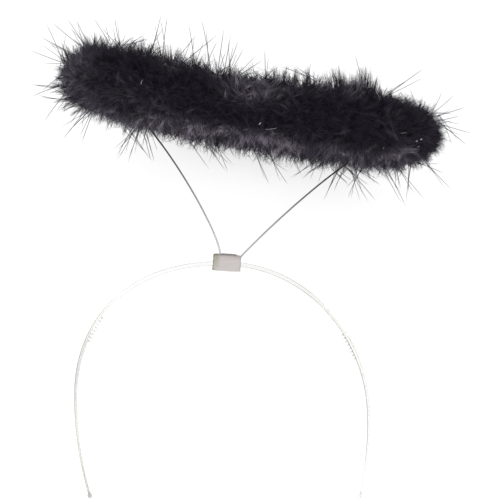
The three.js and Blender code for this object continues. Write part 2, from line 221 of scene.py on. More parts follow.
# Pale patches in the marabou, partly pale barbs and partly painted sheen: degrees round the ring, degrees round the
# body, half length along it and half width round it in millimetres, and how pale
PATCHES = (
    (218, -74, 6, 3, 0.5), (216, -68, 4, 3, 0.3), (226, -74, 5, 3, 0.6), (234, -76, 5, 4, 0.8), (238, -82, 5, 4, 1),
    (245, -62, 4, 4, 1), (251, -50, 3, 3, 0.4), (250, -76, 4, 3, 0.8), (256, -78, 5, 3, 0.9), (262, -76, 4, 4, 1),
    (271, -76, 5, 4, 1), (276, -68, 4, 4, 0.9), (281, -80, 4, 3, 0.9), (283, -64, 4, 4, 1), (284, -92, 4, 4, 1),
    (289, -80, 4, 3, 0.8), (299, -74, 5, 4, 0.7), (308, -74, 5, 3, 0.6), (321, -66, 6, 4, 0.5), (326, -48, 7, 5, 0.65),
    (147, -86, 5, 4, 0.5), (140, -100, 6, 4, 0.7), (130, -124, 7, 4, 1), (118, -130, 6, 6, 0.8), (109, -134, 9, 7, 1),
    (102, -131, 12, 10, 1), (90, -132, 8, 6, 1), (78, -128, 6, 4, 0.7), (65, -126, 6, 4, 0.9), (53, -112, 6, 5, 0.6),
    (267, 36, 5, 4, 1), (268, 21, 5, 5, 1), (272, 34, 6, 5, 1), (270, 52, 5, 3, 0.6), (263, 36, 4, 4, 0.5),
    (257, 48, 4, 3, 0.15), (284, 55, 4, 3, 0.4), (292, 76, 4, 3, 0.5), (302, 66, 4, 4, 0.9), (300, 82, 5, 4, 0.7),
    (243, 60, 6, 4, 0.35), (194, 26, 3, 3, 0.6), (201, -2, 4, 3, 0.8), (192, -66, 5, 4, 0.4), (208, -25, 22, 14, 0.2),
    (200, 10, 16, 14, 0.16), (100, -60, 6, 4, 0.7), (75, -70, 6, 4, 0.6), (60, 35, 5, 4, 0.5), (125, 50, 5, 4, 0.5))
# Tufts seen from the front, in millimetres and degrees: where each leaves the marabou, across and up in the halo's frame,
# its way from straight up to the right, and its length
TUFTS = (
    (-83, 93, -31, 9), (-84, 93, -45, 7), (-94, 89, -32, 7), (36, 93, -21, 7), (38, 93, -14, 8), (40, 93, -2, 6),
    (45, 93, -16, 6), (48, 94, -9, 8), (50, 94, -13, 9), (51, 94, -7, 10), (53, 94, -5, 8), (56, 94, 3, 6),
    (9, 89, -14, 7), (13, 89, -12, 6), (19, 89, -9, 6), (32, 91, -17, 5), (-93, 73, -91, 8), (-92, 70, -104, 7),
    (-90, 67, -112, 8), (-88, 65, -122, 7), (-84, 63, -138, 7), (-42, 92, -9, 6), (-38, 92, 3, 5), (-81, 95, -9, 7),
    (62, 90, 22, 6), (69, 89, 32, 5), (81, 88, 40, 5), (38, 88, -8, 8), (41, 87, 4, 8), (43, 89, -6, 7), (45, 87, 8, 8),
    (47, 89, -4, 8), (49, 88, -8, 9), (54, 89, 6, 8), (57, 88, 12, 7), (42, 91, -10, 5), (44, 90, 6, 5), (47, 91, -3, 6))


def smoothstep(low, high, place):
    """0 below low, 1 above high, and a smooth S between them: 3t^2 - 2t^3."""
    t = np.clip((place - low) / (high - low), 0, 1)
    return t * t * (3 - 2 * t)


def whole_turn(steps):
    """Angles spread evenly over a whole turn, without its end."""
    return np.linspace(0, 2 * math.pi, steps, endpoint=False)


def unit(ways, least=0):
    """Ways made one long. A least length, added to theirs, keeps a way of no length from dividing by zero."""
    return ways / (np.linalg.norm(ways, axis=-1, keepdims=True) + least)


def circles(aside, above, turn):
    """Circles of radius one: aside * cos(turn) + above * sin(turn), for each pair of ways that are square to each other."""
    return aside[..., None, :] * np.cos(turn)[:, None] + above[..., None, :] * np.sin(turn)[:, None]


def read_table(rows, column, place):
    """The value of a table's column at a place, going from row to row in a smooth S."""
    table = np.array(rows, float)
    after = np.clip(np.searchsorted(table[:, 0], place), 1, len(table) - 1)
    before = after - 1
    mix = smoothstep(table[before, 0], table[after, 0], place)
    return table[before, column] + (table[after, column] - table[before, column]) * mix


def turned(points, tilt):
    """Points turned by a tilt about the Y axis, top to the right."""
    x, y, z = np.moveaxis(points, -1, 0)
    return np.stack((x * np.cos(tilt) + z * np.sin(tilt), y, z * np.cos(tilt) - x * np.sin(tilt)), -1)


def leaned(points):
    """Points leaned back about the X axis by the model's lean."""
    x, y, z = np.moveaxis(points, -1, 0)
    return np.stack((x, y * np.cos(LEAN) + z * np.sin(LEAN), z * np.cos(LEAN) - y * np.sin(LEAN)), -1)


def arch_line(sizes):
    """The outer line of the band: x = half width * sin^(2/n), z = -widest * (1 - cos^(2/n)) down to the widest level,
    and below it a parabola that curls in. Gives the points, the way forward and the length so far."""
    t = np.linspace(0, 1, ARCH_STEPS + 1)
    right = (t >= 0.5).astype(int)
    level, squareness, curl = (np.array(pair)[right] for pair in (ARCH_LEVEL, ARCH_SQUARENESS, ARCH_CURL))
    widest = sizes.height * level
    from_top = np.abs(2 * t - 1)
    turn = np.minimum(from_top / ARCH_UPPER_SHARE, 1) * (math.pi / 2)
    below = np.clip((from_top - ARCH_UPPER_SHARE) / (1 - ARCH_UPPER_SHARE), 0, 1)
    out = np.where(below > 0, 1 - curl * below ** 2, np.sin(turn) ** (2 / squareness))
    fall = widest * (1 - np.clip(np.cos(turn), 0, 1) ** (2 / squareness)) + (sizes.height - widest) * below
    points = np.stack((np.where(right, 1, -1) * sizes.half_width * out, 0 * t, -fall), -1)
    steps = np.linalg.norm(np.diff(points, axis=0), axis=1)
    so_far = np.concatenate(([0], np.cumsum(steps)))
    return points, unit(np.gradient(points, so_far, axis=0)), so_far


def band_at(sizes, distance):
    """The band at distances along it from its top: its middle, the way in to the head, its thickness and its depth."""
    points, forward, so_far = arch_line(sizes)
    to_top = so_far[ARCH_STEPS // 2]
    place = np.clip(to_top + np.asarray(distance, float), 0, so_far[-1])
    outer, ahead = (
        np.stack([np.interp(place, so_far, line[:, axis]) for axis in range(3)], -1) for line in (points, forward))
    ahead = unit(ahead)
    inward = np.stack((ahead[..., 2], 0 * place, -ahead[..., 0]), -1)
    along = np.abs(2 * place / so_far[-1] - 1)
    thickness = sizes.thickness * read_table(BAND_TAPER, 1, along)
    depth = sizes.depth * read_table(BAND_TAPER, 2, along)
    return outer + inward * (thickness / 2)[..., None], inward, ahead, thickness, depth


class Places:
    """Where the wrap and the halo sit on the band, and how the upright frame goes to the packed model's frame."""

    def __init__(self, scene):
        self.band, self.tape, self.wires, self.marabou = (
            scene.halo_band, scene.halo_tape, scene.halo_wires, scene.halo_marabou)
        middle, _, _, thickness, _ = band_at(self.band, np.array([self.tape.offset]))
        self.bound = middle[0]
        self.low_foot = thickness[0] / 2 + self.wires.foot_bed + self.wires.radius
        self.tape_top = self.low_foot + self.wires.foot_step + self.wires.radius + 0.0003 + self.tape.cover
        self.tape_bottom = -thickness[0] / 2 - self.tape.pad
        self.tape_half = (self.tape_top - self.tape_bottom) / 2
        self.tape_middle = (self.tape_top + self.tape_bottom) / 2
        seat = turned(np.array([0, 0, self.tape_bottom]), self.tape.tilt) + self.bound
        self.moved = np.array(SEAT["pos_m"]) - leaned(seat)

    def rest(self, points):
        """Points of the upright frame in the packed model's frame."""
        return leaned(points) + self.moved

    def rest_of_tape(self, points):
        """Points of the wrap's frame in the packed model's frame."""
        return self.rest(turned(points, self.tape.tilt) + self.bound)

    def rest_of_halo(self, points):
        """Points of the halo's frame in the packed model's frame."""
        return self.rest(turned(points, self.wires.tilt) + self.bound)

    def tape_to_halo(self, points):
        """Points of the wrap's frame in the halo's frame."""
        return turned(points, self.tape.tilt - self.wires.tilt)

    def ring_point(self, turn, roll, reach):
        """Points at a turn round the ring, a roll round its middle line from the outer side by way of the top, and a reach
        from that line, which sags by sag * sin^2(turn). In the halo's frame."""
        out = self.wires.ring_radius + reach * np.cos(roll)
        rise = self.wires.ring_height - self.wires.ring_sag * np.sin(turn) ** 2 + reach * np.sin(roll)
        return np.stack((out * np.cos(turn), out * np.sin(turn), rise), -1)

    def fur_radius(self, turn, roll=None):
        """How thick the marabou is at a turn round the ring. With a roll, it is slimmer under its left end and both on top
        of its right end and under it: times 1 - slim * cos^12(half the turn from that end) * the roll's share."""
        radius = self.marabou.radius * read_table(FULLNESS, 1, np.degrees(turn) % 360)
        if roll is None:
            return radius
        low = np.clip(np.sin(-roll), 0, 1) ** 0.7
        left = np.sin(turn / 2) ** 12 * low
        right = np.cos(turn / 2) ** 12 * np.maximum(np.sin(roll + 0.2), 0.6 * low)
        return radius * (1 - self.marabou.slim_left * left - self.marabou.slim_right * right)


def put_mesh(name, places, triangles, finish, node_slot, **values):
    """A piece made from whole arrays of places and triangles, at the origin, with a value for each place by name."""
    mesh = bpy.data.meshes.new(name)
    mesh.vertices.add(len(places))
    mesh.vertices.foreach_set("co", np.ascontiguousarray(places, np.float32).ravel())
    mesh.loops.add(triangles.size)
    mesh.loops.foreach_set("vertex_index", np.ascontiguousarray(triangles, np.int32).ravel())
    mesh.polygons.add(len(triangles))
    mesh.polygons.foreach_set("loop_start", np.arange(0, triangles.size, 3, dtype=np.int32))
    mesh.polygons.foreach_set("use_smooth", np.ones(len(triangles), bool))
    for key, value in values.items():
        mesh.attributes.new(key, "FLOAT", "POINT").data.foreach_set(
            "value", np.ascontiguousarray(value, np.float32).ravel())
    mesh.update(calc_edges=True)
    mesh.validate()
    mesh.materials.append(finish)
    piece = bpy.data.objects.new(name, mesh)
    bpy.context.scene.collection.objects.link(piece)
    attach(piece, BODY)
    return piece


def outward(places, triangles):
    """The triangles of a closed shape, turned about where the volume that they enclose comes out negative."""
    a, b, c = (places[triangles[:, corner]] for corner in range(3))
    return triangles if np.einsum("ij,ij->", a, np.cross(b, c)) > 0 else triangles[:, ::-1]


def tube(rings):
    """A closed tube through rings of places, an array of rings by sides by 3: quads between rings, each cut into two
    triangles, and a fan of triangles to the middle of each end ring."""
    steps, sides = rings.shape[:2]
    here = np.arange((steps - 1) * sides).reshape(steps - 1, sides)
    beside = np.roll(here, -1, axis=1)
    walls = np.stack((here, beside, beside + sides, here, beside + sides, here + sides), -1).reshape(-1, 3)
    side = np.arange(sides)
    first, last = steps * sides, steps * sides + 1
    near = np.stack((np.full(sides, first), np.roll(side, -1), side), -1)
    far = np.stack((np.full(sides, last), side, np.roll(side, -1)), -1)
    far[:, 1:] += (steps - 1) * sides
    places = np.concatenate((rings.reshape(-1, 3), rings[:1].mean(1), rings[-1:].mean(1)))
    triangles = np.concatenate((walls, near, far))
    return places, outward(places, triangles)


def ring_values(values, sides):
    """The values of a tube's places, from one value for each ring."""
    return np.concatenate((np.repeat(values, sides), values[:1], values[-1:]))


def place_values(values):
    """The values of a tube's places, from one value for each place of each ring."""
    return np.concatenate((values.ravel(), values[:1].mean(1), values[-1:].mean(1)))


def joined(shells):
    """Several closed shells, each its places and triangles, as one."""
    counts = np.cumsum([0] + [len(places) for places, _ in shells])
    return (
        np.concatenate([places for places, _ in shells]),
        np.concatenate([triangles + start for (_, triangles), start in zip(shells, counts)]))


def rounded(turn, squareness):
    """A superellipse: cos and sin of a turn, each to the power 2 / squareness, with their signs kept."""
    c, s = np.cos(turn), np.sin(turn)
    return np.sign(c) * np.abs(c) ** (2 / squareness), np.sign(s) * np.abs(s) ** (2 / squareness)


# --- Finishes -----------------------------------------------------------------------------------------------------------

# The second colours of the finishes
FLOW_LINES = (0.9, 0.89, 0.87, 1)
# Painted shade: a warm tint of the band's grey rims
WARM_RIM_SHADE = (0.5, 0.45, 0.31, 1)
TAPE_STREAKS = (0.36, 0.31, 0.3, 1)
# Painted shade along the wire foot under the tape
WIRE_SHADE_UNDER_TAPE = (0.06, 0.064, 0.07, 1)
WIRE_LINES = (0.08, 0.08, 0.085, 1)
QUILL_LINES = (0.45, 0.42, 0.38, 1)
# How grey the teeth look all over and at the rim, as painted shade, and how dark the pad under the tape is
TOOTH_SHADE, TOOTH_RIM_SHADE = 0.62, 0.9
PAD_EDGE = 0.8
# How deep the bumps go, in metres
MARK_DEPTH = 0.0002
FLUFF_DEPTH = 0.001


def new_group(name, inputs, outputs):
    """An empty shader node group with named inputs, each with its default, and named outputs."""
    group = bpy.data.node_groups.new(name, "ShaderNodeTree")
    for label, kind, default in inputs:
        socket = group.interface.new_socket(label, in_out="INPUT", socket_type=f"NodeSocket{kind}")
        if default is not None:
            socket.default_value = default
    for label, kind in outputs:
        group.interface.new_socket(label, in_out="OUTPUT", socket_type=f"NodeSocket{kind}")
    return group, Wiring(group)


class Wiring:
    """Short ways to add and join the nodes of a tree."""

    def __init__(self, tree):
        self.tree = tree

    def join(self, value, socket):
        """Give a socket its value, which is a link from another socket or a plain one."""
        if isinstance(value, bpy.types.NodeSocket):
            self.tree.links.new(value, socket)
        else:
            socket.default_value = value

    def node(self, kind, **settings):
        node = self.tree.nodes.new(f"ShaderNode{kind}" if not kind.startswith("Node") else kind)
        inputs = settings.pop("inputs", {})
        for key, value in settings.items():
            setattr(node, key, value)
        for key, value in inputs.items():
            self.join(value, node.inputs[key])
        return node

    def noise(self, vector, scale, detail=3, roughness=0.55):
        return self.node("TexNoise", inputs={
            "Vector": vector, "Scale": scale, "Detail": detail, "Roughness": roughness}).outputs["Fac"]

    def spread(self, value, low, high, to_low=0, to_high=1):
        return self.node("MapRange", inputs={
            "Value": value, "From Min": low, "From Max": high, "To Min": to_low, "To Max": to_high}).outputs["Result"]

    def mix(self, share_of, first, second):
        node = self.tree.nodes.new("ShaderNodeMix")
        node.data_type = "RGBA"
        for key, value in ((0, share_of), (6, first), (7, second)):
            self.join(value, node.inputs[key])
        return node.outputs[2]

    def math(self, operation, first, second):
        return self.node("Math", operation=operation, inputs={0: first, 1: second}).outputs[0]

    def bump(self, shader, height, strength, distance):
        """A height that tips a shader's normal."""
        lift = self.node("Bump", inputs={"Height": height, "Strength": strength, "Distance": distance})
        self.join(lift.outputs[0], shader.inputs["Normal"])


def handling_marks():
    """Fine smudges and scratches: noise in two sizes lifts the roughness and makes a low height."""
    group, wires = new_group(
        "Handling marks",
        [("Vector", "Vector", None), ("Scale", "Float", 400.0), ("Roughness", "Float", 0.3), ("Spread", "Float", 0.1)],
        [("Roughness", "Float"), ("Height", "Float")])
    given = wires.node("NodeGroupInput")
    smudge = wires.noise(given.outputs["Vector"], given.outputs["Scale"], 4, 0.6)
    fine = wires.noise(given.outputs["Vector"], wires.math("MULTIPLY", given.outputs["Scale"], 6.0), 2)
    lift = wires.math("MULTIPLY", wires.math("SUBTRACT", smudge, 0.5), given.outputs["Spread"])
    out = wires.node("NodeGroupOutput")
    wires.join(wires.math("ADD", given.outputs["Roughness"], wires.math("MULTIPLY", lift, 2.0)), out.inputs[0])
    wires.join(wires.math("ADD", smudge, wires.math("MULTIPLY", fine, 0.4)), out.inputs[1])
    return group


def barb_shade():
    """A barb's colour: dark at its root, a painted shade deep in the fur, lighter towards its tip, and paler by its
    paleness, which is partly pale barbs and partly painted sheen.
    """
    group, wires = new_group(
        "Barb shade",
        [("Along", "Float", 0.5), ("Pale", "Float", 0.0), ("Grain", "Float", 0.5),
         ("Root", "Color", None), ("Tip", "Color", None), ("Pale tip", "Color", None)],
        [("Color", "Color")])
    given = wires.node("NodeGroupInput")
    tip = wires.mix(given.outputs["Pale"], given.outputs["Tip"], given.outputs["Pale tip"])
    rise = wires.math("MULTIPLY", given.outputs["Along"], wires.spread(given.outputs["Grain"], 0.2, 0.8, 0.55, 1.15))
    rise = wires.node("Clamp", inputs={"Value": rise}).outputs[0]
    out = wires.node("NodeGroupOutput")
    wires.join(wires.mix(rise, given.outputs["Root"], tip), out.inputs[0])
    return group


def shared_group(name, make):
    """A node group that is built once and then found by its name."""
    return bpy.data.node_groups.get(name) or make()


def new_finish(name, **plain):
    """A material with one Principled shader, whose values that are the same all over are set on its sockets."""
    finish = bpy.data.materials.new(name)
    finish.use_nodes = True
    shader = finish.node_tree.nodes["Principled BSDF"]
    for key, value in plain.items():
        shader.inputs[key.replace("_", " ")].default_value = value
    wires = Wiring(finish.node_tree)
    spot = wires.node("TexCoord").outputs["Object"]
    return finish, shader, wires, spot


def add_marks(wires, shader, spot, scale, roughness, spread, bump):
    """Handling marks on a material's roughness and height."""
    marks = wires.node("Group", node_tree=shared_group("Handling marks", handling_marks), inputs={
        "Vector": spot, "Scale": scale, "Roughness": roughness, "Spread": spread})
    wires.join(marks.outputs["Roughness"], shader.inputs["Roughness"])
    wires.bump(shader, marks.outputs["Height"], bump, MARK_DEPTH)


def stretched(wires, spot, scale):
    """Coordinates stretched so that a noise on them runs in streaks."""
    return wires.node("Mapping", inputs={"Vector": spot, "Scale": scale}).outputs[0]


def attribute(wires, name):
    """A piece's own value by name."""
    return wires.node("Attribute", attribute_name=name).outputs["Fac"]


def add_barb_shade(wires, shader, colours, along, grain):
    """The barb shade as a material's base colour."""
    shade = wires.node("Group", node_tree=shared_group("Barb shade", barb_shade), inputs={
        "Along": along, "Pale": attribute(wires, "pale"), "Grain": grain,
        "Root": tuple(colours.root), "Tip": tuple(colours.tip), "Pale tip": tuple(colours.pale)})
    wires.join(shade.outputs[0], shader.inputs["Base Color"])


def clear_moulding(colours):
    """Clear moulded plastic with faint flow lines, and painted shade: grey rims where it is seen edge on, grey between
    them in places, and grey knobs and teeth.
    """
    finish, shader, wires, spot = new_finish(
        "clear_moulding", Transmission_Weight=1.0, IOR=1.49, Specular_IOR_Level=0.5)
    add_marks(wires, shader, spot, 500.0, 0.05, 0.06, 0.05)
    flow = wires.spread(wires.noise(spot, 90.0), 0.35, 0.65)
    body = wires.mix(wires.math("MULTIPLY", flow, 0.5), tuple(colours.plastic), FLOW_LINES)
    # Painted shade: the rims go grey where the plastic is seen edge on, and grey fills between them in places
    facing = wires.node("LayerWeight", inputs={"Blend": 0.5}).outputs["Facing"]
    grey = attribute(wires, "rim")
    rim = wires.spread(facing, wires.spread(grey, 0, 1, 0.55, 0.05), wires.spread(grey, 0, 1, 1.5, 0.55))
    rim = wires.math("MAXIMUM", rim, attribute(wires, "fill"))
    rim_shade_colour = wires.mix(attribute(wires, "warm"), tuple(colours.rim), WARM_RIM_SHADE)
    body = wires.mix(rim, body, rim_shade_colour)
    # Painted shade on the knobs and on the teeth
    wires.join(wires.mix(attribute(wires, "thick"), body, tuple(colours.knob)), shader.inputs["Base Color"])
    return finish


def tape_skin(colours):
    """Milky tape: streaks along the band, darker olive edges, and a painted shade where a wire lies under it."""
    finish, shader, wires, spot = new_finish(
        "tape_skin", IOR=1.46, Subsurface_Weight=0.12, Subsurface_Scale=0.002, Coat_Roughness=0.25)
    add_marks(wires, shader, spot, 600.0, 0.38, 0.12, 0.25)
    streak = wires.spread(wires.noise(stretched(wires, spot, (60.0, 1400.0, 1400.0)), 1.0, 4), 0.35, 0.7)
    body = wires.mix(wires.math("MULTIPLY", streak, 0.35), tuple(colours.tape), TAPE_STREAKS)
    # Darker olive edges, varied by a noise
    edge_noise = wires.noise(spot, 900.0, 4)
    edge = wires.math("MULTIPLY", attribute(wires, "edge"), wires.spread(edge_noise, 0.3, 0.6, 0.45, 1.0))
    body = wires.mix(edge, body, tuple(colours.tape_edge))
    # Painted shade where the wire lies under the tape
    wires.join(wires.mix(attribute(wires, "wire"), body, WIRE_SHADE_UNDER_TAPE), shader.inputs["Base Color"])
    return finish


def drawn_steel(colours):
    """Drawn steel wire with fine lines along it, and a painted shade that darkens it towards the marabou."""
    finish, shader, wires, spot = new_finish("drawn_steel", Metallic=1.0)
    add_marks(wires, shader, spot, 900.0, 0.34, 0.16, 0.15)
    lines = wires.spread(wires.noise(spot, 2500.0, 2), 0.3, 0.7)
    # Painted shade towards the marabou
    body = wires.mix(attribute(wires, "along"), tuple(colours.steel), tuple(colours.steel_shade))
    wires.join(wires.mix(wires.math("MULTIPLY", lines, 0.25), body, WIRE_LINES), shader.inputs["Base Color"])
    return finish


def marabou_barbs(colours):
    """Dyed marabou: each barb goes from near black, a painted shade at its root, to a dark violet grey, and the pale
    locks, partly painted sheen, to grey.
    """
    finish, shader, wires, spot = new_finish(
        "marabou_barbs", Specular_IOR_Level=0.1, Sheen_Weight=0.03, Sheen_Roughness=0.5)
    grain = wires.noise(spot, 260.0, 3)
    add_barb_shade(wires, shader, colours, attribute(wires, "along"), grain)
    wires.join(wires.spread(grain, 0.3, 0.7, 0.62, 0.8), shader.inputs["Roughness"])
    return finish


def marabou_down(colours):
    """Dense down under the barbs: fine streaks and soft lumps, near black with the painted shade of the roots."""
    finish, shader, wires, spot = new_finish("marabou_down", Specular_IOR_Level=0.1)
    fluff = wires.noise(spot, 380.0, 6, 0.7)
    # Mostly the root colour, which is a painted shade
    add_barb_shade(wires, shader, colours, wires.spread(fluff, 0.4, 0.75, 0.0, 0.5), fluff)
    wires.join(wires.spread(fluff, 0.3, 0.7, 0.85, 0.97), shader.inputs["Roughness"])
    wires.bump(shader, fluff, 0.8, FLUFF_DEPTH)
    return finish


def bare_quill(colours):
    """The bare shaft of a feather: off-white horn with faint lines."""
    finish, shader, wires, spot = new_finish("bare_quill", Subsurface_Weight=0.1, Subsurface_Scale=0.001)
    add_marks(wires, shader, spot, 1200.0, 0.35, 0.1, 0.2)
    lines = wires.spread(wires.noise(spot, 2200.0, 3), 0.35, 0.7, 0.0, 0.4)
    wires.join(wires.mix(lines, tuple(colours.quill), QUILL_LINES), shader.inputs["Base Color"])
    return finish


def pale_table(colours):
    """A smooth pale light table with the faintest mottling, which glows enough to wash out the shadows."""
    finish, shader, wires, spot = new_finish(
        "pale_table", Specular_IOR_Level=0.1, Emission_Color=(1, 1, 1, 1),
        Emission_Strength=bpy.context.scene.halo_stage.glow)
    mottle = wires.spread(wires.noise(spot, 3.0), 0.3, 0.7)
    tint = tuple(channel * 0.99 for channel in colours.floor[:3]) + (1,)
    wires.join(wires.mix(mottle, tuple(colours.floor), tint), shader.inputs["Base Color"])
    wires.join(wires.spread(mottle, 0, 1, 0.7, 0.75), shader.inputs["Roughness"])
    return finish


FINISHES = {
    "clear_moulding": clear_moulding, "tape_skin": tape_skin, "drawn_steel": drawn_steel,
    "marabou_barbs": marabou_barbs, "marabou_down": marabou_down, "bare_quill": bare_quill, "pale_table": pale_table}


def finish_of(name):
    """A finish that is built once and then found by its name."""
    return bpy.data.materials.get(name) or FINISHES[name](bpy.context.scene.halo_colours)


# --- Band, tape and wires -----------------------------------------------------------------------------------------------


def band_shell(places):
    """The band: a superellipse of its thickness and depth carried along the arch. Over its last few millimetres the outline
    swells to the knob's half ellipse, knob * sqrt(1 - s^2), and closes in a point."""
    sizes = places.band
    _, _, so_far = arch_line(sizes)
    to_top = so_far[ARCH_STEPS // 2]
    half = sizes.knob_length / 2
    knob_turn = np.linspace(0, math.pi / 2, 12)
    cap = half * np.sin(knob_turn)
    inner = np.linspace(half, so_far[-1] - half, 260)
    lead_in = half * (1 - np.cos(np.linspace(0, math.pi / 2, 10)[:-1]))
    past = np.concatenate((-cap[::-1], lead_in[1:], inner, so_far[-1] - lead_in[:0:-1], so_far[-1] + cap))
    distance = past - to_top
    middle, inward, ahead, thickness, depth = band_at(sizes, distance)
    beyond = past - np.clip(past, 0, so_far[-1])
    middle = middle + ahead * beyond[:, None]
    from_end = np.minimum(np.abs(past), np.abs(past - so_far[-1])) / half
    knob = np.sqrt(np.clip(1 - from_end ** 2, 0, 1))
    outside = np.abs(beyond) > 0
    keep = np.where(outside, 0, 1)
    half_thick = np.maximum(keep * thickness / 2, knob * sizes.knob_thickness / 2)
    half_deep = np.maximum(keep * depth / 2, knob * sizes.knob_depth / 2)
    squareness = 3.8 - 1.4 * smoothstep(0.25, 0.6, np.abs(2 * past / so_far[-1] - 1))
    squareness += (2 - squareness) * np.where(outside, 1, knob ** 2)
    turn = whole_turn(32)
    across, back = rounded(turn[None, :], squareness[:, None])
    rings = (
        middle[:, None, :] + inward[:, None, :] * (half_thick[:, None] * across)[..., None]
        + BACK * (half_deep[:, None] * back)[..., None])
    shape, triangles = tube(rings)
    # Painted shade on the knobs: full on the left one, faint on the right
    thick = smoothstep(0.72, 1, np.maximum(knob, np.where(outside, 1, 0)) ** 0.5) * np.where(distance < 0, 1, 0.06)
    along = np.clip(2 * past / so_far[-1] - 1, -1, 1)
    # Painted shade on the rims and between them, along the band
    grey, more, fill, warm = (read_table(RIM_SHADES, column, along)[:, None] for column in (1, 2, 3, 4))
    looks = {"rim": grey * (1 + more * across), "fill": fill * (1 + more * across), "warm": warm * (0.5 - 0.5 * across)}
    looks = {key: place_values(value) for key, value in looks.items()}
    return shape, triangles, looks | {"thick": ring_values(thick, len(turn))}


def tooth_shells(places):
    """The comb teeth: each a blunt cone with an oval foot, r = 1 - 0.4 h^2 up to a domed tip, in the band's inner face."""
    sizes = places.band
    number = np.arange(sizes.tooth_count)
    turn = whole_turn(14)
    rise = np.concatenate((np.linspace(0, 0.8, 6), 0.8 + 0.2 * np.sin(np.linspace(0.25, 1, 5) * math.pi / 2)))
    width = (1 - 0.4 * rise ** 2) * np.sqrt(np.clip(1 - np.clip((rise - 0.8) / 0.2, 0, 0.999) ** 2, 0, 1))
    shells = []
    for side in (-1, 1):
        distance = places.tape.offset + side * (sizes.tooth_start + number * sizes.tooth_pitch)
        middle, inward, ahead, thickness, _ = band_at(sizes, distance)
        for spot, way_in, forward, thick in zip(middle, inward, ahead, thickness):
            foot = spot + way_in * (thick / 2 - TOOTH_ROOT)
            height = rise * (TOOTH_ROOT + sizes.tooth_height)
            rings = (
                foot + way_in * height[:, None, None]
                + forward * (width[:, None] * np.cos(turn) * sizes.tooth_width / 2)[..., None]
                + BACK * (width[:, None] * np.sin(turn) * sizes.tooth_depth / 2)[..., None])
            shells.append(tube(rings))
    return shells


def wire_path(places, side):
    """The middle line of a stem in the halo's frame: a straight foot, a quadratic bend and a cubic curve up to the ring."""
    wires = places.wires
    bend, end, step, out_low, up_low, out_high, up_high = {
        -1: (-0.52, 0.66, 1, 0.091, 0.215, 0.67, 0.955),
        1: (0.83, -0.55, 0, 0.144, 0.157, 0.7, 0.95)}[side]
    y = wires.foot_spread * side
    z = places.low_foot + wires.foot_step * step
    half = places.tape.width / 2
    foot_end = places.tape_to_halo(np.array([half * end, y, z]))
    corner = places.tape_to_halo(np.array([half * bend, y, z]))
    low = np.array([side * wires.ring_radius * out_low, y * 0.6, wires.ring_height * up_low])
    high = np.array([side * wires.ring_radius * out_high, 0, wires.ring_height * up_high])
    top = np.array([side * (wires.ring_radius - wires.ring_gap), 0, wires.ring_height - 2 * wires.radius])

    def towards(goal):
        return corner + unit(goal - corner) * wires.bend

    a, b = towards(foot_end), towards(low)
    t = np.linspace(0, 1, 9)[:, None]
    straight = foot_end + (a - foot_end) * t
    t = np.linspace(0, 1, 13)[1:, None]
    turn_up = a * (1 - t) ** 2 + corner * 2 * t * (1 - t) + b * t ** 2
    t = np.linspace(0, 1, 71)[1:, None]
    rise = b * (1 - t) ** 3 + low * 3 * t * (1 - t) ** 2 + high * 3 * t ** 2 * (1 - t) + top * t ** 3
    return np.concatenate((straight, turn_up, rise))


def wire_shell(path, radius, sides=14):
    """A round wire along a path that keeps near one upright plane: a circle carried along it, with ends that round off."""
    ahead = unit(np.gradient(path, axis=0))
    across = unit(np.cross(ahead, BACK))
    ring = circles(np.cross(across, ahead), across, whole_turn(sides))
    dome = np.array([0.35, 0.75, 0.95])
    start = path[0] - ahead[0] * (radius * 0.5 * np.sqrt(1 - dome ** 2))[:, None]
    stop = path[-1] + ahead[-1] * (radius * 0.5 * np.sqrt(1 - dome[::-1] ** 2))[:, None]
    middles = np.concatenate((start, path, stop))
    rings = np.concatenate((np.repeat(ring[:1], 3, 0), ring, np.repeat(ring[-1:], 3, 0)))
    size = np.concatenate((dome, np.ones(len(path)), dome[::-1])) * radius
    return tube(middles[:, None] + rings * size[:, None, None])


def wavering(seed, turn, waves=5, lowest=1):
    """A smooth number from about -1 to 1 that wavers with a turn: a sum of sines with seeded sizes and starts."""
    rng = np.random.default_rng(seed)
    rate = lowest + np.arange(waves)
    size = rng.uniform(0.4, 1, waves) / np.sqrt(waves)
    start = rng.uniform(0, 2 * math.pi, waves)
    return (np.sin(np.asarray(turn)[..., None] * rate + start) * size).sum(-1)


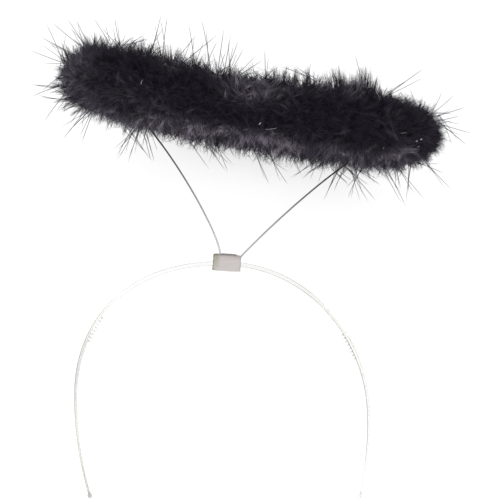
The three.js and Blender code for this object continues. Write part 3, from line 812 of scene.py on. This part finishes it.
def tape_shell(places):
    """The tape: a thin strip as wide as the wrap, carried round a superellipse that grows by a layer with each turn. Its
    edges waver from turn to turn, the left ones most, and it lies in a low ridge over the upper foot."""
    tape, wires = places.tape, places.wires
    turn = np.linspace(0, 2 * math.pi * tape.turns, int(tape.turns * STEPS_A_TURN))
    layer = (tape.turns - turn / (2 * math.pi)) * tape.layer
    left = -tape.width / 2 * (1 + 0.05 * wavering(3, turn * 0.83, 9, 2) + 0.04 * wavering(4, turn, 8, 9))
    right = tape.width / 2 * (1 + 0.035 * wavering(5, turn * 0.87, 9, 2))
    across = np.linspace(0, 1, TAPE_COLUMNS)
    width_share = np.concatenate((across, across[::-1]))
    outer = np.repeat((1, 0), TAPE_COLUMNS)
    x = left[:, None] + (right - left)[:, None] * width_share
    spot = x / tape.width
    full = 1 - 0.045 * smoothstep(0.36, 0.5, np.abs(spot + 0.01))
    full -= 0.02 * smoothstep(0.19, 0.25, spot)
    half_deep = (tape.depth / 2 - layer)[:, None] * full - (1 - outer) * tape.layer * 0.8
    half_high = (places.tape_half - layer)[:, None] * full - (1 - outer) * tape.layer * 0.8
    back, up = rounded(turn[:, None], TAPE_SQUARENESS)
    y, z = half_deep * back, half_high * up
    over_foot = smoothstep(-0.55, -0.45, spot * 2) * (1 - smoothstep(0.64, 0.72, spot * 2))
    z = z + np.exp(-((y + wires.foot_spread) / 0.0008) ** 2) * (z > 0) * over_foot * TAPE_RIDGE
    # A painted shade over the wire under the tape, on its top face
    foot_tip = np.exp(-((spot - 0.29) / 0.03) ** 2)
    wire = ((0.62 + 0.38 * foot_tip) * over_foot + 0.3 * (1 - smoothstep(-0.32, -0.24, spot))) * (y < 0.0006)
    wire = wire * smoothstep(0.78 - 0.1 * foot_tip, 0.92, z / half_high.max())
    shape, triangles = tube(np.stack((x, y, z + places.tape_middle), -1))
    # Darker at the left edges of the turns, more so higher up
    notch = 0.5 + 0.5 * np.tanh(2.5 * wavering(6, turn, 8, 7))[:, None]
    upper = smoothstep(-0.9, 0.7, z / half_high.max())
    edge = smoothstep(0.22, 0.45, 0.04 * notch - spot) * (0.22 + 0.5 * upper + 0.2 * notch)
    edge = edge + smoothstep(0.47, 0.5, -spot) * notch + smoothstep(0.46, 0.5, spot) * 0.1 * notch
    return shape, triangles, place_values(edge), place_values(wire)


def pad_shell(places):
    """The glue and the first turns of tape round the band: a superellipse block a little shorter than the tape."""
    tape = places.tape
    along = np.linspace(-1, 1, 25)
    turn = whole_turn(48)
    inner = tape.turns * tape.layer * 0.9
    bulge = 1 - 0.12 * np.abs(along) ** 6
    back, up = rounded(turn[None, :], TAPE_SQUARENESS)
    ripple = 1 + 0.03 * wavering(8, turn[None, :], 6, 3)
    y = (tape.depth / 2 - inner) * bulge[:, None] * back * ripple
    z = (places.tape_half - inner) * bulge[:, None] * up * ripple
    x = (tape.width / 2 * 0.955 * along)[:, None] * np.ones_like(y)
    return tube(np.stack((x, y, z + places.tape_middle), -1))


# --- Marabou ------------------------------------------------------------------------------------------------------------

# The start of each kind's random numbers; the quarters of the down and the halves of the fringe count on from theirs
DOWN_SEED, FRINGE_SEED, FUZZ_SEED, TUFT_SEED, GUARD_SEED = 40, 50, 63, 77, 91
# Plumes in each quarter of the down and in each half of the fringe
DOWN_PLUMES, FRINGE_PLUMES = 900, 2600
# Barbs in a chosen tuft, and how wide the barbs of the fuzz and of the tufts are at the root
TUFT_BARBS = 34
FUZZ_WIDTH, TUFT_WIDTH = 0.00022, 0.0002
# Spikes at the two ends: degrees round the ring and round the body, how far they stand out, and how many there are
SPIKES = (((150, 224), (-80, 75), (0.003, 0.0095), 150), ((-34, 34), (-80, 80), (0.003, 0.0075), 90))
# Small locks all over, the spread of the roots of a spike and of a lock, with how many barbs each has, and how far any may
# stand out
LOCKS = 520
SPIKE_BARBS, LOCK_BARBS = (0.0007, 9), (0.0008, 8)
MOST_STAND = 0.0105
# How far the roots of chosen tufts and of long hairs lie inside their starts
TUFT_ROOT, HAIR_ROOT = 0.006, 0.005


def drift(seed, turn, roll, rounds=9, rolls=3):
    """A smooth number from about -1 to 1 over the ring: a sum of sines of whole turns and whole rolls."""
    rng = np.random.default_rng(seed)
    waves = 10
    by_turn = rng.integers(1, rounds + 1, waves)
    by_roll = rng.integers(-rolls, rolls + 1, waves)
    start = rng.uniform(0, 2 * math.pi, waves)
    total = np.zeros(np.broadcast(turn, roll).shape)
    for a, b, c in zip(by_turn, by_roll, start):
        total += np.sin(a * turn + b * roll + c)
    return total / math.sqrt(waves)


def paleness_and_sheen(turn, roll):
    """How pale the marabou is, partly pale barbs and partly painted sheen: the chosen patches, each exp(-a^2 - b^2) of
    the way from its middle, and a soft drift of others, with more painted sheen on the underside."""
    drifting = 0.14 * smoothstep(0.2, 1.3, drift(21, turn, roll, 14, 4))
    # More painted sheen on the underside
    under = 0.36 * smoothstep(0.45, 0.9, -np.sin(roll + 0.2)) * smoothstep(-0.8, 0.8, drift(22, turn, roll, 22, 2))
    total = drifting + under + 0.008
    for middle_turn, middle_roll, along, around, strength in PATCHES:
        off_turn = (np.degrees(turn) - middle_turn + 180) % 360 - 180
        off_roll = (np.degrees(roll) - middle_roll + 180) % 360 - 180
        total = total + strength * np.exp(-(off_turn * 1.38 / along) ** 2 - (off_roll * 0.28 / around) ** 2)
    return np.clip(total, 0, 1)


def core_shell(places):
    """The dense down: a tube round the ring whose reach is a share of the marabou's radius, times one plus soft lumps."""
    turns, rolls = 288, 54
    turn, roll = whole_turn(turns)[:, None], whole_turn(rolls)[None, :]
    lumps = 1 + 0.035 * drift(11, turn, roll, 26, 6) + 0.025 * drift(12, turn, roll, 60, 12)
    reach = places.fur_radius(turn, roll) * places.marabou.core * lumps
    shape = places.ring_point(turn + 0 * roll, roll + 0 * turn, reach).reshape(-1, 3)
    here = np.arange(turns * rolls).reshape(turns, rolls)
    beside = np.roll(here, -1, axis=1)
    ahead, both = np.roll(here, -1, axis=0), np.roll(beside, -1, axis=0)
    triangles = np.stack((here, ahead, both, here, both, beside), -1).reshape(-1, 3)
    return shape, outward(shape, triangles), paleness_and_sheen(turn, roll).ravel() * 0.5


def off_the_table(points, gap):
    """Points that come near the table bend away from it: below three gaps, the height falls off to the gap and no lower."""
    high = 4 * gap
    z = points[..., 2]
    points[..., 2] = np.where(z < high, gap + (high - gap) * np.exp((z - high) / (high - gap)), z)
    return points


def barbs(places, rng, curves, width, pale, taper=0.75):
    """Closed three-sided barbs along curves, an array of barbs by places by 3 in the halo's frame: a triangle carried along
    each curve, its size falling by the taper, then to a point at the tip. Gives the places, the triangles, and for each
    place how far along its barb it is and how pale."""
    curves = off_the_table(places.rest_of_halo(curves), places.marabou.floor_gap)
    total, steps = curves.shape[:2]
    ahead = unit(np.gradient(curves, axis=1), 1e-12)
    aside = unit(np.cross(ahead, rng.normal(size=(total, 1, 3))), 1e-12)
    above = np.cross(ahead, aside)
    turn = np.array([0, 2, 4]) * math.pi / 3
    along = np.linspace(0, 1, steps)
    size = (width[:, None] / 2) * (1 - taper * along)
    rings = curves[:, :-1, None] + size[:, :-1, None, None] * circles(aside[:, :-1], above[:, :-1], turn)
    shape = np.concatenate((rings.reshape(total, -1, 3), curves[:, -1:]), 1)
    low = 3 * np.arange(steps - 2)[:, None] + np.arange(3)[None, :]
    beside = 3 * np.arange(steps - 2)[:, None] + np.roll(np.arange(3), -1)[None, :]
    walls = np.stack((low, beside, beside + 3, low, beside + 3, low + 3), -1).reshape(-1, 3)
    last = 3 * (steps - 2)
    tips = np.array([[last + k, last + (k + 1) % 3, last + 3] for k in range(3)])
    one = np.concatenate((np.array([[0, 2, 1]]), walls, tips))
    triangles = (one[None] + np.arange(total)[:, None, None] * shape.shape[1]).reshape(-1, 3)
    far = np.append(np.repeat(along[:-1], 3), 1)
    return shape.reshape(-1, 3), triangles, np.tile(far, total), np.repeat(np.clip(pale, 0, 1), shape.shape[1])


def barb_curves(places, turn, roll, base, reach, sweep, curl, steps, ease=1.5):
    """Curves of barbs: the turn and the roll move by a sweep and, with the square of the way along, by a curl, both in
    metres along and around the ring, while the reach rises from base to reach as 1 - (1 - t)^ease."""
    t = np.linspace(0, 1, steps + 1)[None, :]
    ring_radius = places.wires.ring_radius
    along = (sweep[0][:, None] * t + curl[0][:, None] * t ** 2) / ring_radius
    around = (sweep[1][:, None] * t + curl[1][:, None] * t ** 2) / places.marabou.radius
    rise = base[:, None] + (reach - base)[:, None] * (1 - (1 - t) ** ease)
    return places.ring_point(turn[:, None] + along, roll[:, None] + around, rise)


def plume_roots(rng, total, plumes, turns, spread, places):
    """Where barbs grow: plumes spread evenly over a stretch of the ring, and the barbs of each scattered round its root.
    Gives each barb's plume, turn and roll, and how far it is from its plume's root along and around the ring."""
    plume_turn = rng.uniform(*turns, plumes)
    even = rng.uniform(0, 2 * math.pi, plumes)
    plume_roll = even - places.marabou.radius / places.wires.ring_radius * np.sin(even)
    plume = rng.integers(0, plumes, total)
    aside = rng.normal(0, spread, (2, total))
    turn = plume_turn[plume] + aside[0] / places.wires.ring_radius
    roll = plume_roll[plume] + aside[1] / places.marabou.radius
    return plume, turn, roll, aside


def down_barbs(places, seed, turns):
    """Soft straight barbs of down on a stretch of the ring. They lean the way that their plume does, hang down on the
    underside, and end near the marabou's radius. The plumes differ in how pale they are, which makes the streaks."""
    sizes = places.marabou
    rng = np.random.default_rng(seed)
    total, plumes = sizes.down_count, DOWN_PLUMES
    plume, turn, roll, aside = plume_roots(rng, total, plumes, turns, 0.0013, places)
    radius = places.fur_radius(turn, roll)
    under = smoothstep(0.3, 0.95, -np.sin(roll)) * np.cos(roll)
    lean = np.stack((drift(31, turn, roll, 12, 3), drift(32, turn, roll, 12, 3))) * 0.002
    lean[1] -= under * 0.004
    own = rng.normal(0, 0.0014, (2, plumes))[:, plume]
    sweep = lean + own + aside * 0.6 + rng.normal(0, 0.0012, (2, total))
    reach = radius * (0.95 + (0.11 + 0.06 * under) * rng.beta(2, 2.2, total)) * (1 + 0.03 * drift(33, turn, roll, 30, 6))
    curves = barb_curves(places, turn, roll, radius * 0.68, reach, sweep, sweep * 0, 1, 1)
    pale = paleness_and_sheen(turn, roll) * 1.7 * rng.beta(0.8, 1.1, plumes)[plume] * rng.uniform(0.6, 1.1, total)
    return barbs(places, rng, curves, sizes.down_width * rng.uniform(0.7, 1.3, total), pale)


def fringe_barbs(places, seed, turns):
    """Longer barbs that stand out of the down in spikes: those of one plume lean together and draw in to its tip."""
    sizes = places.marabou
    rng = np.random.default_rng(seed)
    total, plumes = sizes.fringe_count, FRINGE_PLUMES
    plume, turn, roll, aside = plume_roots(rng, total, plumes, turns, 0.0009, places)
    radius = places.fur_radius(turn, roll)
    own = rng.normal(0, 0.0034, (2, plumes))[:, plume]
    sweep = own - aside * 0.85 + rng.normal(0, 0.0004, (2, total))
    curl = rng.normal(0, 0.0011, (2, plumes))[:, plume]
    stand = 0.001 + np.minimum(rng.gamma(2.4, 0.0014, plumes), 0.0075)
    reach = radius + stand[plume] * rng.beta(3.2, 1.3, total)
    curves = barb_curves(places, turn, roll, radius * 0.8, reach, sweep, curl, 2, 1)
    pale = paleness_and_sheen(turn, roll) * 1.8 * rng.beta(1, 1.4, plumes)[plume]
    return barbs(places, rng, curves, sizes.fringe_width * rng.uniform(0.7, 1.2, total), pale)


def fuzz_barbs(places):
    """Fine crisp hairs all over that stand up and curl over at their tips, each its own way, mostly along the ring."""
    rng = np.random.default_rng(FUZZ_SEED)
    total = places.marabou.fuzz_count
    turn, roll = rng.uniform(0, 2 * math.pi, (2, total))
    radius = places.fur_radius(turn, roll)
    sweep = rng.normal(0, 0.0018, (2, total))
    curl = rng.normal(0, 1, (2, total)) * np.array([[0.0042], [0.0018]])
    reach = radius + rng.uniform(0.0015, 0.0052, total)
    curves = barb_curves(places, turn, roll, radius * 0.86, reach, sweep, curl, 4, 2.4)
    return barbs(places, rng, curves, FUZZ_WIDTH * rng.uniform(0.7, 1.2, total), np.zeros(total))


def seen_lines(places, rows):
    """Straight lines seen from the front, from rows of across, up, degrees, length and side, the last -1 on the front and 1
    on the back of the ring. They start at y = side * sqrt(R^2 - across^2). Gives the starts, the ways and the lengths."""
    across, up, degrees, far, side = np.array(rows, float).T
    across, up, far = across / 1000, up / 1000, far / 1000
    heading = np.radians(degrees)
    start = np.stack((across, side * np.sqrt(np.clip(places.wires.ring_radius ** 2 - across ** 2, 0, None)), up), -1)
    return start, np.stack((np.sin(heading), 0 * heading, np.cos(heading)), -1), far


def seen_tufts(places, rng):
    """The chosen tufts: cones of barbs whose roots are spread round the start of a line, deep inside it, and whose tips draw
    together at its end."""
    start, ahead, far = seen_lines(places, [row + (-1,) for row in TUFTS])
    start, ahead, far = (np.repeat(part, TUFT_BARBS, 0) for part in (start, ahead, far))
    total = len(far)
    spread = rng.normal(0, 0.0014, (total, 3))
    tip = start + ahead * (far * rng.beta(4, 1.2, total))[:, None] + spread * 0.4 + rng.normal(0, 0.0003, (total, 3))
    root = start + spread - ahead * TUFT_ROOT
    t = np.linspace(0, 1, 3)[None, :, None]
    return root[:, None] + (tip - root)[:, None] * t


def tuft_barbs(places):
    """Tufts that stand out: the chosen ones, bundles of spikes at the two ends, and small locks all over. Each lock is a
    cone of barbs whose tips draw together and lean along the ring."""
    rng = np.random.default_rng(TUFT_SEED)
    spikes = [
        (math.radians(rng.uniform(*turns)), math.radians(rng.uniform(*rolls)), rng.uniform(*stands), *SPIKE_BARBS)
        for turns, rolls, stands, number in SPIKES for _ in range(number)]
    locks = [
        (rng.uniform(0, 2 * math.pi), rng.uniform(0, 2 * math.pi), 0.003 + rng.gamma(2, 0.0011), *LOCK_BARBS)
        for _ in range(LOCKS)]
    rows = np.array(spikes + locks)
    tuft = np.repeat(np.arange(len(rows)), rows[:, 4].astype(int))
    total = len(tuft)
    tuft_turn, tuft_roll, stand, spread = rows[tuft, :4].T
    aside = rng.normal(0, 1, (2, total)) * spread
    turn = tuft_turn + aside[0] / places.wires.ring_radius
    roll = tuft_roll + aside[1] / places.marabou.radius
    radius = places.fur_radius(turn, roll)
    own = rng.normal(0, 0.003, (2, len(rows)))[:, tuft]
    sweep = own - aside * 0.85 + rng.normal(0, 0.0003, (2, total))
    reach = radius + np.minimum(stand, MOST_STAND) * rng.beta(4, 1.2, total)
    curves = barb_curves(places, turn, roll, radius * 0.75, reach, sweep, sweep * 0, 2, 1)
    curves = np.concatenate((curves, seen_tufts(places, rng)))
    pale = np.concatenate((paleness_and_sheen(turn, roll) * 0.3, np.zeros(len(curves) - total)))
    return barbs(places, rng, curves, TUFT_WIDTH * rng.uniform(0.7, 1.25, len(curves)), pale)


# Long hairs seen from the front, in millimetres and degrees: where each leaves the marabou, across and up in the halo's
# frame, its way from straight up to the right, its length, and the front (-1) or back (1) of the ring
GUARD_HAIRS = (
    (-96, 86, -29, 20, -1), (-94, 90, -70, 17, -1), (-85, 93, -41, 19, -1), (-84, 94, -34, 15, -1),
    (-87, 93, -62, 21, -1), (-73, 96, -37, 14, -1), (-67, 95, -27, 15, -1), (-65, 95, 32, 7, -1), (-61, 95, 46, 10, -1),
    (-50, 95, 8, 15, -1), (-45, 92, -5, 20, -1), (-30, 92, -15, 17, -1), (-23, 93, -17, 20, -1), (-33, 91, 41, 19, -1),
    (-18, 90, -2, 16, -1), (-15, 90, 0, 16, -1), (-13, 92, 13, 13, -1), (-95, 84, -81, 18, -1), (-97, 72, -95, 13, -1),
    (-95, 73, -118, 16, -1), (-96, 77, -144, 12, -1), (-92, 69, -148, 17, -1), (-94, 66, -99, 11, -1),
    (-81, 62, -154, 18, -1), (-80, 61, -146, 13, 1), (-76, 59, -168, 15, -1), (-60, 57, -157, 14, 1),
    (-59, 55, -167, 12, 1), (-56, 56, -171, 12, 1), (-58, 56, 135, 17, 1), (-52, 56, 157, 12, 1), (-50, 55, 149, 12, 1),
    (-29, 58, 138, 17, 1), (-19, 58, 142, 8, 1), (-93, 74, -116, 9, -1), (-92, 71, -111, 8, -1), (-88, 66, -134, 9, -1),
    (-86, 64, -136, 8, -1), (-83, 63, -151, 9, -1), (-96, 77, -152, 8, -1), (-81, 95, -9, 8, -1),
    (-80, 96, 9, 6, -1), (-17, 53, 138, 15, -1), (-14, 57, 148, 13, 1), (-12, 88, 23, 13, -1),
    (4, 90, -9, 11, -1), (-8, 87, 48, 14, -1), (23, 92, -70, 12, -1), (49, 95, -22, 14, -1), (65, 94, 43, 18, -1),
    (88, 89, 46, 15, -1), (90, 88, 67, 15, 1), (92, 86, 77, 11, -1), (94, 84, 99, 15, 1), (95, 83, 121, 14, -1),
    (90, 63, 130, 15, 1), (89, 63, 99, 10, -1), (76, 61, 133, 21, 1), (81, 59, 180, 15, -1), (73, 57, 142, 19, 1),
    (54, 50, 130, 14, -1), (56, 54, 139, 16, 1), (54, 50, -160, 12, -1), (49, 53, 126, 8, 1), (44, 50, -163, 14, -1),
    (50, 55, -160, 9, 1), (34, 51, -133, 8, -1), (26, 57, 147, 8, 1), (12, 53, 143, 18, -1), (5, 58, 144, 19, 1),
    (33, 53, -132, 13, -1), (63, 55, 110, 8, 1), (75, 58, 141, 14, -1), (13, 90, 7, 5, -1))


def guard_hairs(places):
    """Long straight hairs: the chosen ones, each rooted inside its start and with a slight bend, two shorter ones close
    beside each, and a scatter of others all round."""
    sizes = places.marabou
    rng = np.random.default_rng(GUARD_SEED)
    beside = [
        (across + rng.normal(0, 1.2), up + rng.normal(0, 1), way + rng.normal(0, 16), far * rng.uniform(0.4, 0.9), side)
        for across, up, way, far, side in GUARD_HAIRS * 2]
    start, ahead, far = seen_lines(places, GUARD_HAIRS + tuple(beside))
    bend = rng.normal(0, 0.001, (len(far), 1, 3)) + np.array([0, 0.003, 0]) * rng.normal(size=(len(far), 1, 1))
    t = np.linspace(-0.005, 1, 6)[None, :, None]
    deep = start[:, None] - ahead[:, None] * HAIR_ROOT
    chosen = deep + ahead[:, None] * (far + HAIR_ROOT)[:, None, None] * t + bend * t ** 2
    extra = sizes.guard_count
    turn, roll = rng.uniform(0, 2 * math.pi, (2, extra))
    radius = places.fur_radius(turn, roll)
    stand = 0.003 + 0.009 * rng.beta(1.6, 2.4, extra)
    lean, curl = rng.normal(0, 0.0045, (2, extra)), rng.normal(0, 0.0007, (2, extra))
    others = barb_curves(places, turn, roll, radius * 0.8, radius + stand, lean, curl, 5, 1)
    curves = np.concatenate((chosen, others))
    width = np.concatenate((np.full(len(GUARD_HAIRS), 1.0), np.full(len(beside), 0.8), rng.uniform(0.5, 0.75, extra)))
    width = width * sizes.guard_width
    return barbs(places, rng, curves, width, np.zeros(len(curves)), 0.5)


# Bare quills that catch the light: degrees round the ring, degrees round the body, and thickness, way along the ring and way
# round the body in millimetres
QUILLS = (
    (237, 2, 0.15, 0.2, 2.6), (273, -31, 0.46, 0.6, 1.3), (275, -38, 0.11, 4.6, 1.9), (317, -7, 0.07, 4.2, 0.7),
    (326, -16, 0.4, 1, 0.5), (328, -12, 0.48, 1.1, 0.5), (329, -25, 0.17, 0.9, 0.4), (313, -36, 0.14, 0.8, 0.3),
    (72, 40, 0.28, 3, 1), (120, 10, 0.28, 1, 2.5))


def quill_shells(places):
    """Short bare shafts on the marabou: a circle carried along each, that tapers to both ends."""
    shells = []
    t = np.linspace(0, 1, 9)
    for turn, roll, thickness, along, around in QUILLS:
        turns = math.radians(turn) + t * along / 1000 / places.wires.ring_radius
        rolls = math.radians(roll) + t * around / 1000 / places.marabou.radius
        line = places.ring_point(turns, rolls, places.fur_radius(turns, rolls) * (1.04 + 0.03 * np.sin(t * math.pi)))
        ahead = unit(np.gradient(line, axis=0))
        aside = unit(np.cross(ahead, [0.3, 0.2, 0.9]))
        size = thickness / 2000 * np.sin(math.pi * np.clip(0.06 + 0.9 * t, 0, 1)) ** 0.5
        shells.append(tube(line[:, None] + size[:, None, None] * circles(aside, np.cross(ahead, aside), whole_turn(8))))
    return shells


# --- Operators ----------------------------------------------------------------------------------------------------------


class AddClearBand(bpy.types.Operator):
    """Add the clear plastic band with a knob at each end"""

    bl_idname = "halo.add_clear_band"
    bl_label = "Clear Band"

    def execute(self, context):
        places = Places(context.scene)
        shape, triangles, looks = band_shell(places)
        piece = put_mesh(
            "clear_band", places.rest(shape), triangles, finish_of("clear_moulding"), "clear_plastic", **looks)
        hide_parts("headband")
        return {"FINISHED"}


class AddCombTeeth(bpy.types.Operator):
    """Add the comb teeth on the inner face of the band"""

    bl_idname = "halo.add_comb_teeth"
    bl_label = "Comb Teeth"

    def execute(self, context):
        places = Places(context.scene)
        shape, triangles = joined(tooth_shells(places))
        # The teeth get a painted shade, grey all over and at the rim
        put_mesh(
            "comb_teeth", places.rest(shape), triangles, finish_of("clear_moulding"), "clear_plastic",
            thick=np.full(len(shape), TOOTH_SHADE), rim=np.full(len(shape), TOOTH_RIM_SHADE))
        return {"FINISHED"}


class AddWoundTape(bpy.types.Operator):
    """Add the tape that is wound round the band and the feet of the wires"""

    bl_idname = "halo.add_wound_tape"
    bl_label = "Wound Tape"

    def execute(self, context):
        places = Places(context.scene)
        shape, triangles, edge, wire = tape_shell(places)
        piece = put_mesh(
            "wound_tape", places.rest_of_tape(shape), triangles, finish_of("tape_skin"), "milky_tape",
            edge=edge, wire=wire)
        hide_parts("crown_wrap")
        shape, triangles = pad_shell(places)
        put_mesh(
            "tape_pad", places.rest_of_tape(shape), triangles, finish_of("tape_skin"), "milky_tape",
            edge=np.full(len(shape), PAD_EDGE), wire=np.zeros(len(shape)))
        return {"FINISHED"}


class AddStems(bpy.types.Operator):
    """Add the two steel wires, and give the ring inside the marabou the same finish"""

    bl_idname = "halo.add_stems"
    bl_label = "Steel Stems"

    def execute(self, context):
        places = Places(context.scene)
        for side, name in ((-1, "left_stem"), (1, "right_stem")):
            path = wire_path(places, side)
            shape, triangles = wire_shell(path, places.wires.radius)
            # How far up the stem is, which sets the painted shade near the marabou
            up = smoothstep(0.05, 0.72, (shape[:, 2] - places.low_foot) / places.wires.ring_height)
            piece = put_mesh(
                f"{name}_wire", places.rest_of_halo(shape), triangles, finish_of("drawn_steel"), "steel",
                along=up)
            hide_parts(name)
        ring = frame["nodes"]["ring_wire"]
        ring.data.materials.clear()
        ring.data.materials.append(finish_of("drawn_steel"))
        return {"FINISHED"}


class AddMarabouCore(bpy.types.Operator):
    """Add the dense down in the middle of the fluffy ring"""

    bl_idname = "halo.add_marabou_core"
    bl_label = "Marabou Core"

    def execute(self, context):
        places = Places(context.scene)
        shape, triangles, pale = core_shell(places)
        shape = off_the_table(places.rest_of_halo(shape), places.marabou.floor_gap)
        piece = put_mesh("marabou_core", shape, triangles, finish_of("marabou_down"), "marabou", pale=pale)
        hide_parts("marabou_ring")
        return {"FINISHED"}


def put_barbs(name, parts):
    """Barbs as one piece of marabou, riding on its body."""
    shape, triangles, far, pale = parts
    return put_mesh(name, shape, triangles, finish_of("marabou_barbs"), "marabou", along=far, pale=pale)


class AddMarabouDown(bpy.types.Operator):
    """Add the soft barbs of down, a quarter of the ring at a time"""

    bl_idname = "halo.add_marabou_down"
    bl_label = "Marabou Down"

    def execute(self, context):
        places = Places(context.scene)
        for number, name in enumerate(("right", "back", "left", "front")):
            turns = ((2 * number - 1) * math.pi / 4, (2 * number + 1) * math.pi / 4)
            put_barbs(f"marabou_down_{name}", down_barbs(places, DOWN_SEED + number, turns))
        return {"FINISHED"}


class AddMarabouFringe(bpy.types.Operator):
    """Add the longer curling barbs, half of the ring at a time"""

    bl_idname = "halo.add_marabou_fringe"
    bl_label = "Marabou Fringe"

    def execute(self, context):
        places = Places(context.scene)
        for number, name in enumerate(("back", "front")):
            turns = (number * math.pi, (number + 1) * math.pi)
            put_barbs(f"marabou_fringe_{name}", fringe_barbs(places, FRINGE_SEED + number, turns))
        put_barbs("marabou_fuzz", fuzz_barbs(places))
        return {"FINISHED"}


class AddMarabouTufts(bpy.types.Operator):
    """Add the tufts, spikes and small locks that stand out of the marabou"""

    bl_idname = "halo.add_marabou_tufts"
    bl_label = "Marabou Tufts"

    def execute(self, context):
        put_barbs("marabou_tufts", tuft_barbs(Places(context.scene)))
        return {"FINISHED"}


class AddGuardHairs(bpy.types.Operator):
    """Add the few long straight hairs"""

    bl_idname = "halo.add_guard_hairs"
    bl_label = "Guard Hairs"

    def execute(self, context):
        put_barbs("marabou_guard_hairs", guard_hairs(Places(context.scene)))
        return {"FINISHED"}


class AddQuills(bpy.types.Operator):
    """Add the bare quills that catch the light"""

    bl_idname = "halo.add_quills"
    bl_label = "Bare Quills"

    def execute(self, context):
        places = Places(context.scene)
        shape, triangles = joined(quill_shells(places))
        put_mesh("marabou_quills", places.rest_of_halo(shape), triangles, finish_of("bare_quill"), "marabou")
        return {"FINISHED"}


# The lamps: name, spot, size and power, and the point over the table that they face. Then how bright the studio is
LAMPS = (("key_light", (-0.7, -0.9, 1.5), 1.0, 9), ("fill_light", (0.9, -0.5, 1.3), 1.2, 5))
LAMP_AIM = (0, 0, 0.05)
STUDIO_STRENGTH = 0.98
# The camera's sensor in millimetres, and how far it sees in metres
SENSOR_WIDTH, CLIP_END = 36, 50


def add_softbox(name, spot, size, power):
    """A square lamp at a spot, that faces the point that all lamps aim at."""
    light = bpy.data.lights.new(name, "AREA")
    light.shape, light.size, light.energy = "SQUARE", size, power
    lamp = bpy.data.objects.new(name, light)
    lamp.location = spot
    lamp.rotation_euler = (Vector(LAMP_AIM) - Vector(spot)).to_track_quat("-Z", "Y").to_euler()
    bpy.context.scene.collection.objects.link(lamp)


class AddStage(bpy.types.Operator):
    """Add the pale table, the soft light and the camera"""

    bl_idname = "halo.add_stage"
    bl_label = "Stage"

    def execute(self, context):
        scene = context.scene
        stage = scene.halo_stage
        half = stage.floor_size / 2
        corners = [(-half, -half, 0), (half, -half, 0), (half, half, 0), (-half, half, 0)]
        mesh = bpy.data.meshes.new("table")
        mesh.from_pydata(corners, [], [(0, 1, 2, 3)])
        mesh.materials.append(finish_of("pale_table"))
        table = bpy.data.objects.new("table", mesh)
        scene.collection.objects.link(table)

        world = bpy.data.worlds.new("studio")
        world.use_nodes = True
        background = world.node_tree.nodes["Background"]
        background.inputs["Color"].default_value = (1, 1, 1, 1)
        background.inputs["Strength"].default_value = STUDIO_STRENGTH
        scene.world = world
        for lamp in LAMPS:
            add_softbox(*lamp)

        places = Places(scene)
        aim = places.rest(np.array([stage.aim_x, 0, stage.aim_z]))
        towards_viewer = leaned(-1.0 * BACK)
        camera = bpy.data.cameras.new("camera")
        camera.sensor_width = SENSOR_WIDTH
        camera.lens = camera.sensor_width * stage.distance / stage.field
        camera.clip_end = CLIP_END
        holder = bpy.data.objects.new("camera", camera)
        holder.location = aim + towards_viewer * stage.distance
        holder.rotation_euler = (math.pi / 2 - LEAN, 0, 0)
        scene.collection.objects.link(holder)
        scene.camera = holder
        scene.view_settings.view_transform = "Standard"
        return {"FINISHED"}


class HaloPanel(bpy.types.Panel):
    """The pieces and sizes of the halo headband"""

    bl_idname = "VIEW3D_PT_halo"
    bl_label = "Halo Headband"
    bl_space_type = "VIEW_3D"
    bl_region_type = "UI"
    bl_category = "Halo"

    def draw(self, context):
        for operator in OPERATORS:
            self.layout.operator(operator.bl_idname)
        for name, group in GROUPS.items():
            box = self.layout.box()
            box.label(text=group.__doc__)
            for key in group.__annotations__:
                box.prop(getattr(context.scene, name), key)


GROUPS = {
    "halo_band": BandSizes, "halo_tape": TapeSizes, "halo_wires": WireSizes, "halo_marabou": MarabouSizes,
    "halo_colours": Colours, "halo_stage": StageSizes}
OPERATORS = (
    AddStage, AddClearBand, AddCombTeeth, AddWoundTape, AddStems, AddMarabouCore, AddMarabouDown, AddMarabouFringe,
    AddMarabouTufts, AddGuardHairs, AddQuills)
CLASSES = (*GROUPS.values(), *OPERATORS, HaloPanel)


def register():
    """Make the groups, operators and panel known to Blender."""
    for cls in CLASSES:
        bpy.utils.register_class(cls)
    for name, group in GROUPS.items():
        setattr(bpy.types.Scene, name, PointerProperty(type=group))


def unregister():
    """Take them away again."""
    for name in GROUPS:
        delattr(bpy.types.Scene, name)
    for cls in reversed(CLASSES):
        bpy.utils.unregister_class(cls)


def main():
    """Build every piece, in order."""
    register()
    bpy.ops.halo.add_stage()
    bpy.ops.halo.add_clear_band()
    bpy.ops.halo.add_comb_teeth()
    bpy.ops.halo.add_wound_tape()
    bpy.ops.halo.add_stems()
    bpy.ops.halo.add_marabou_core()
    bpy.ops.halo.add_marabou_down()
    bpy.ops.halo.add_marabou_fringe()
    bpy.ops.halo.add_marabou_tufts()
    bpy.ops.halo.add_guard_hairs()
    bpy.ops.halo.add_quills()


if __name__ == "__main__":
    main()
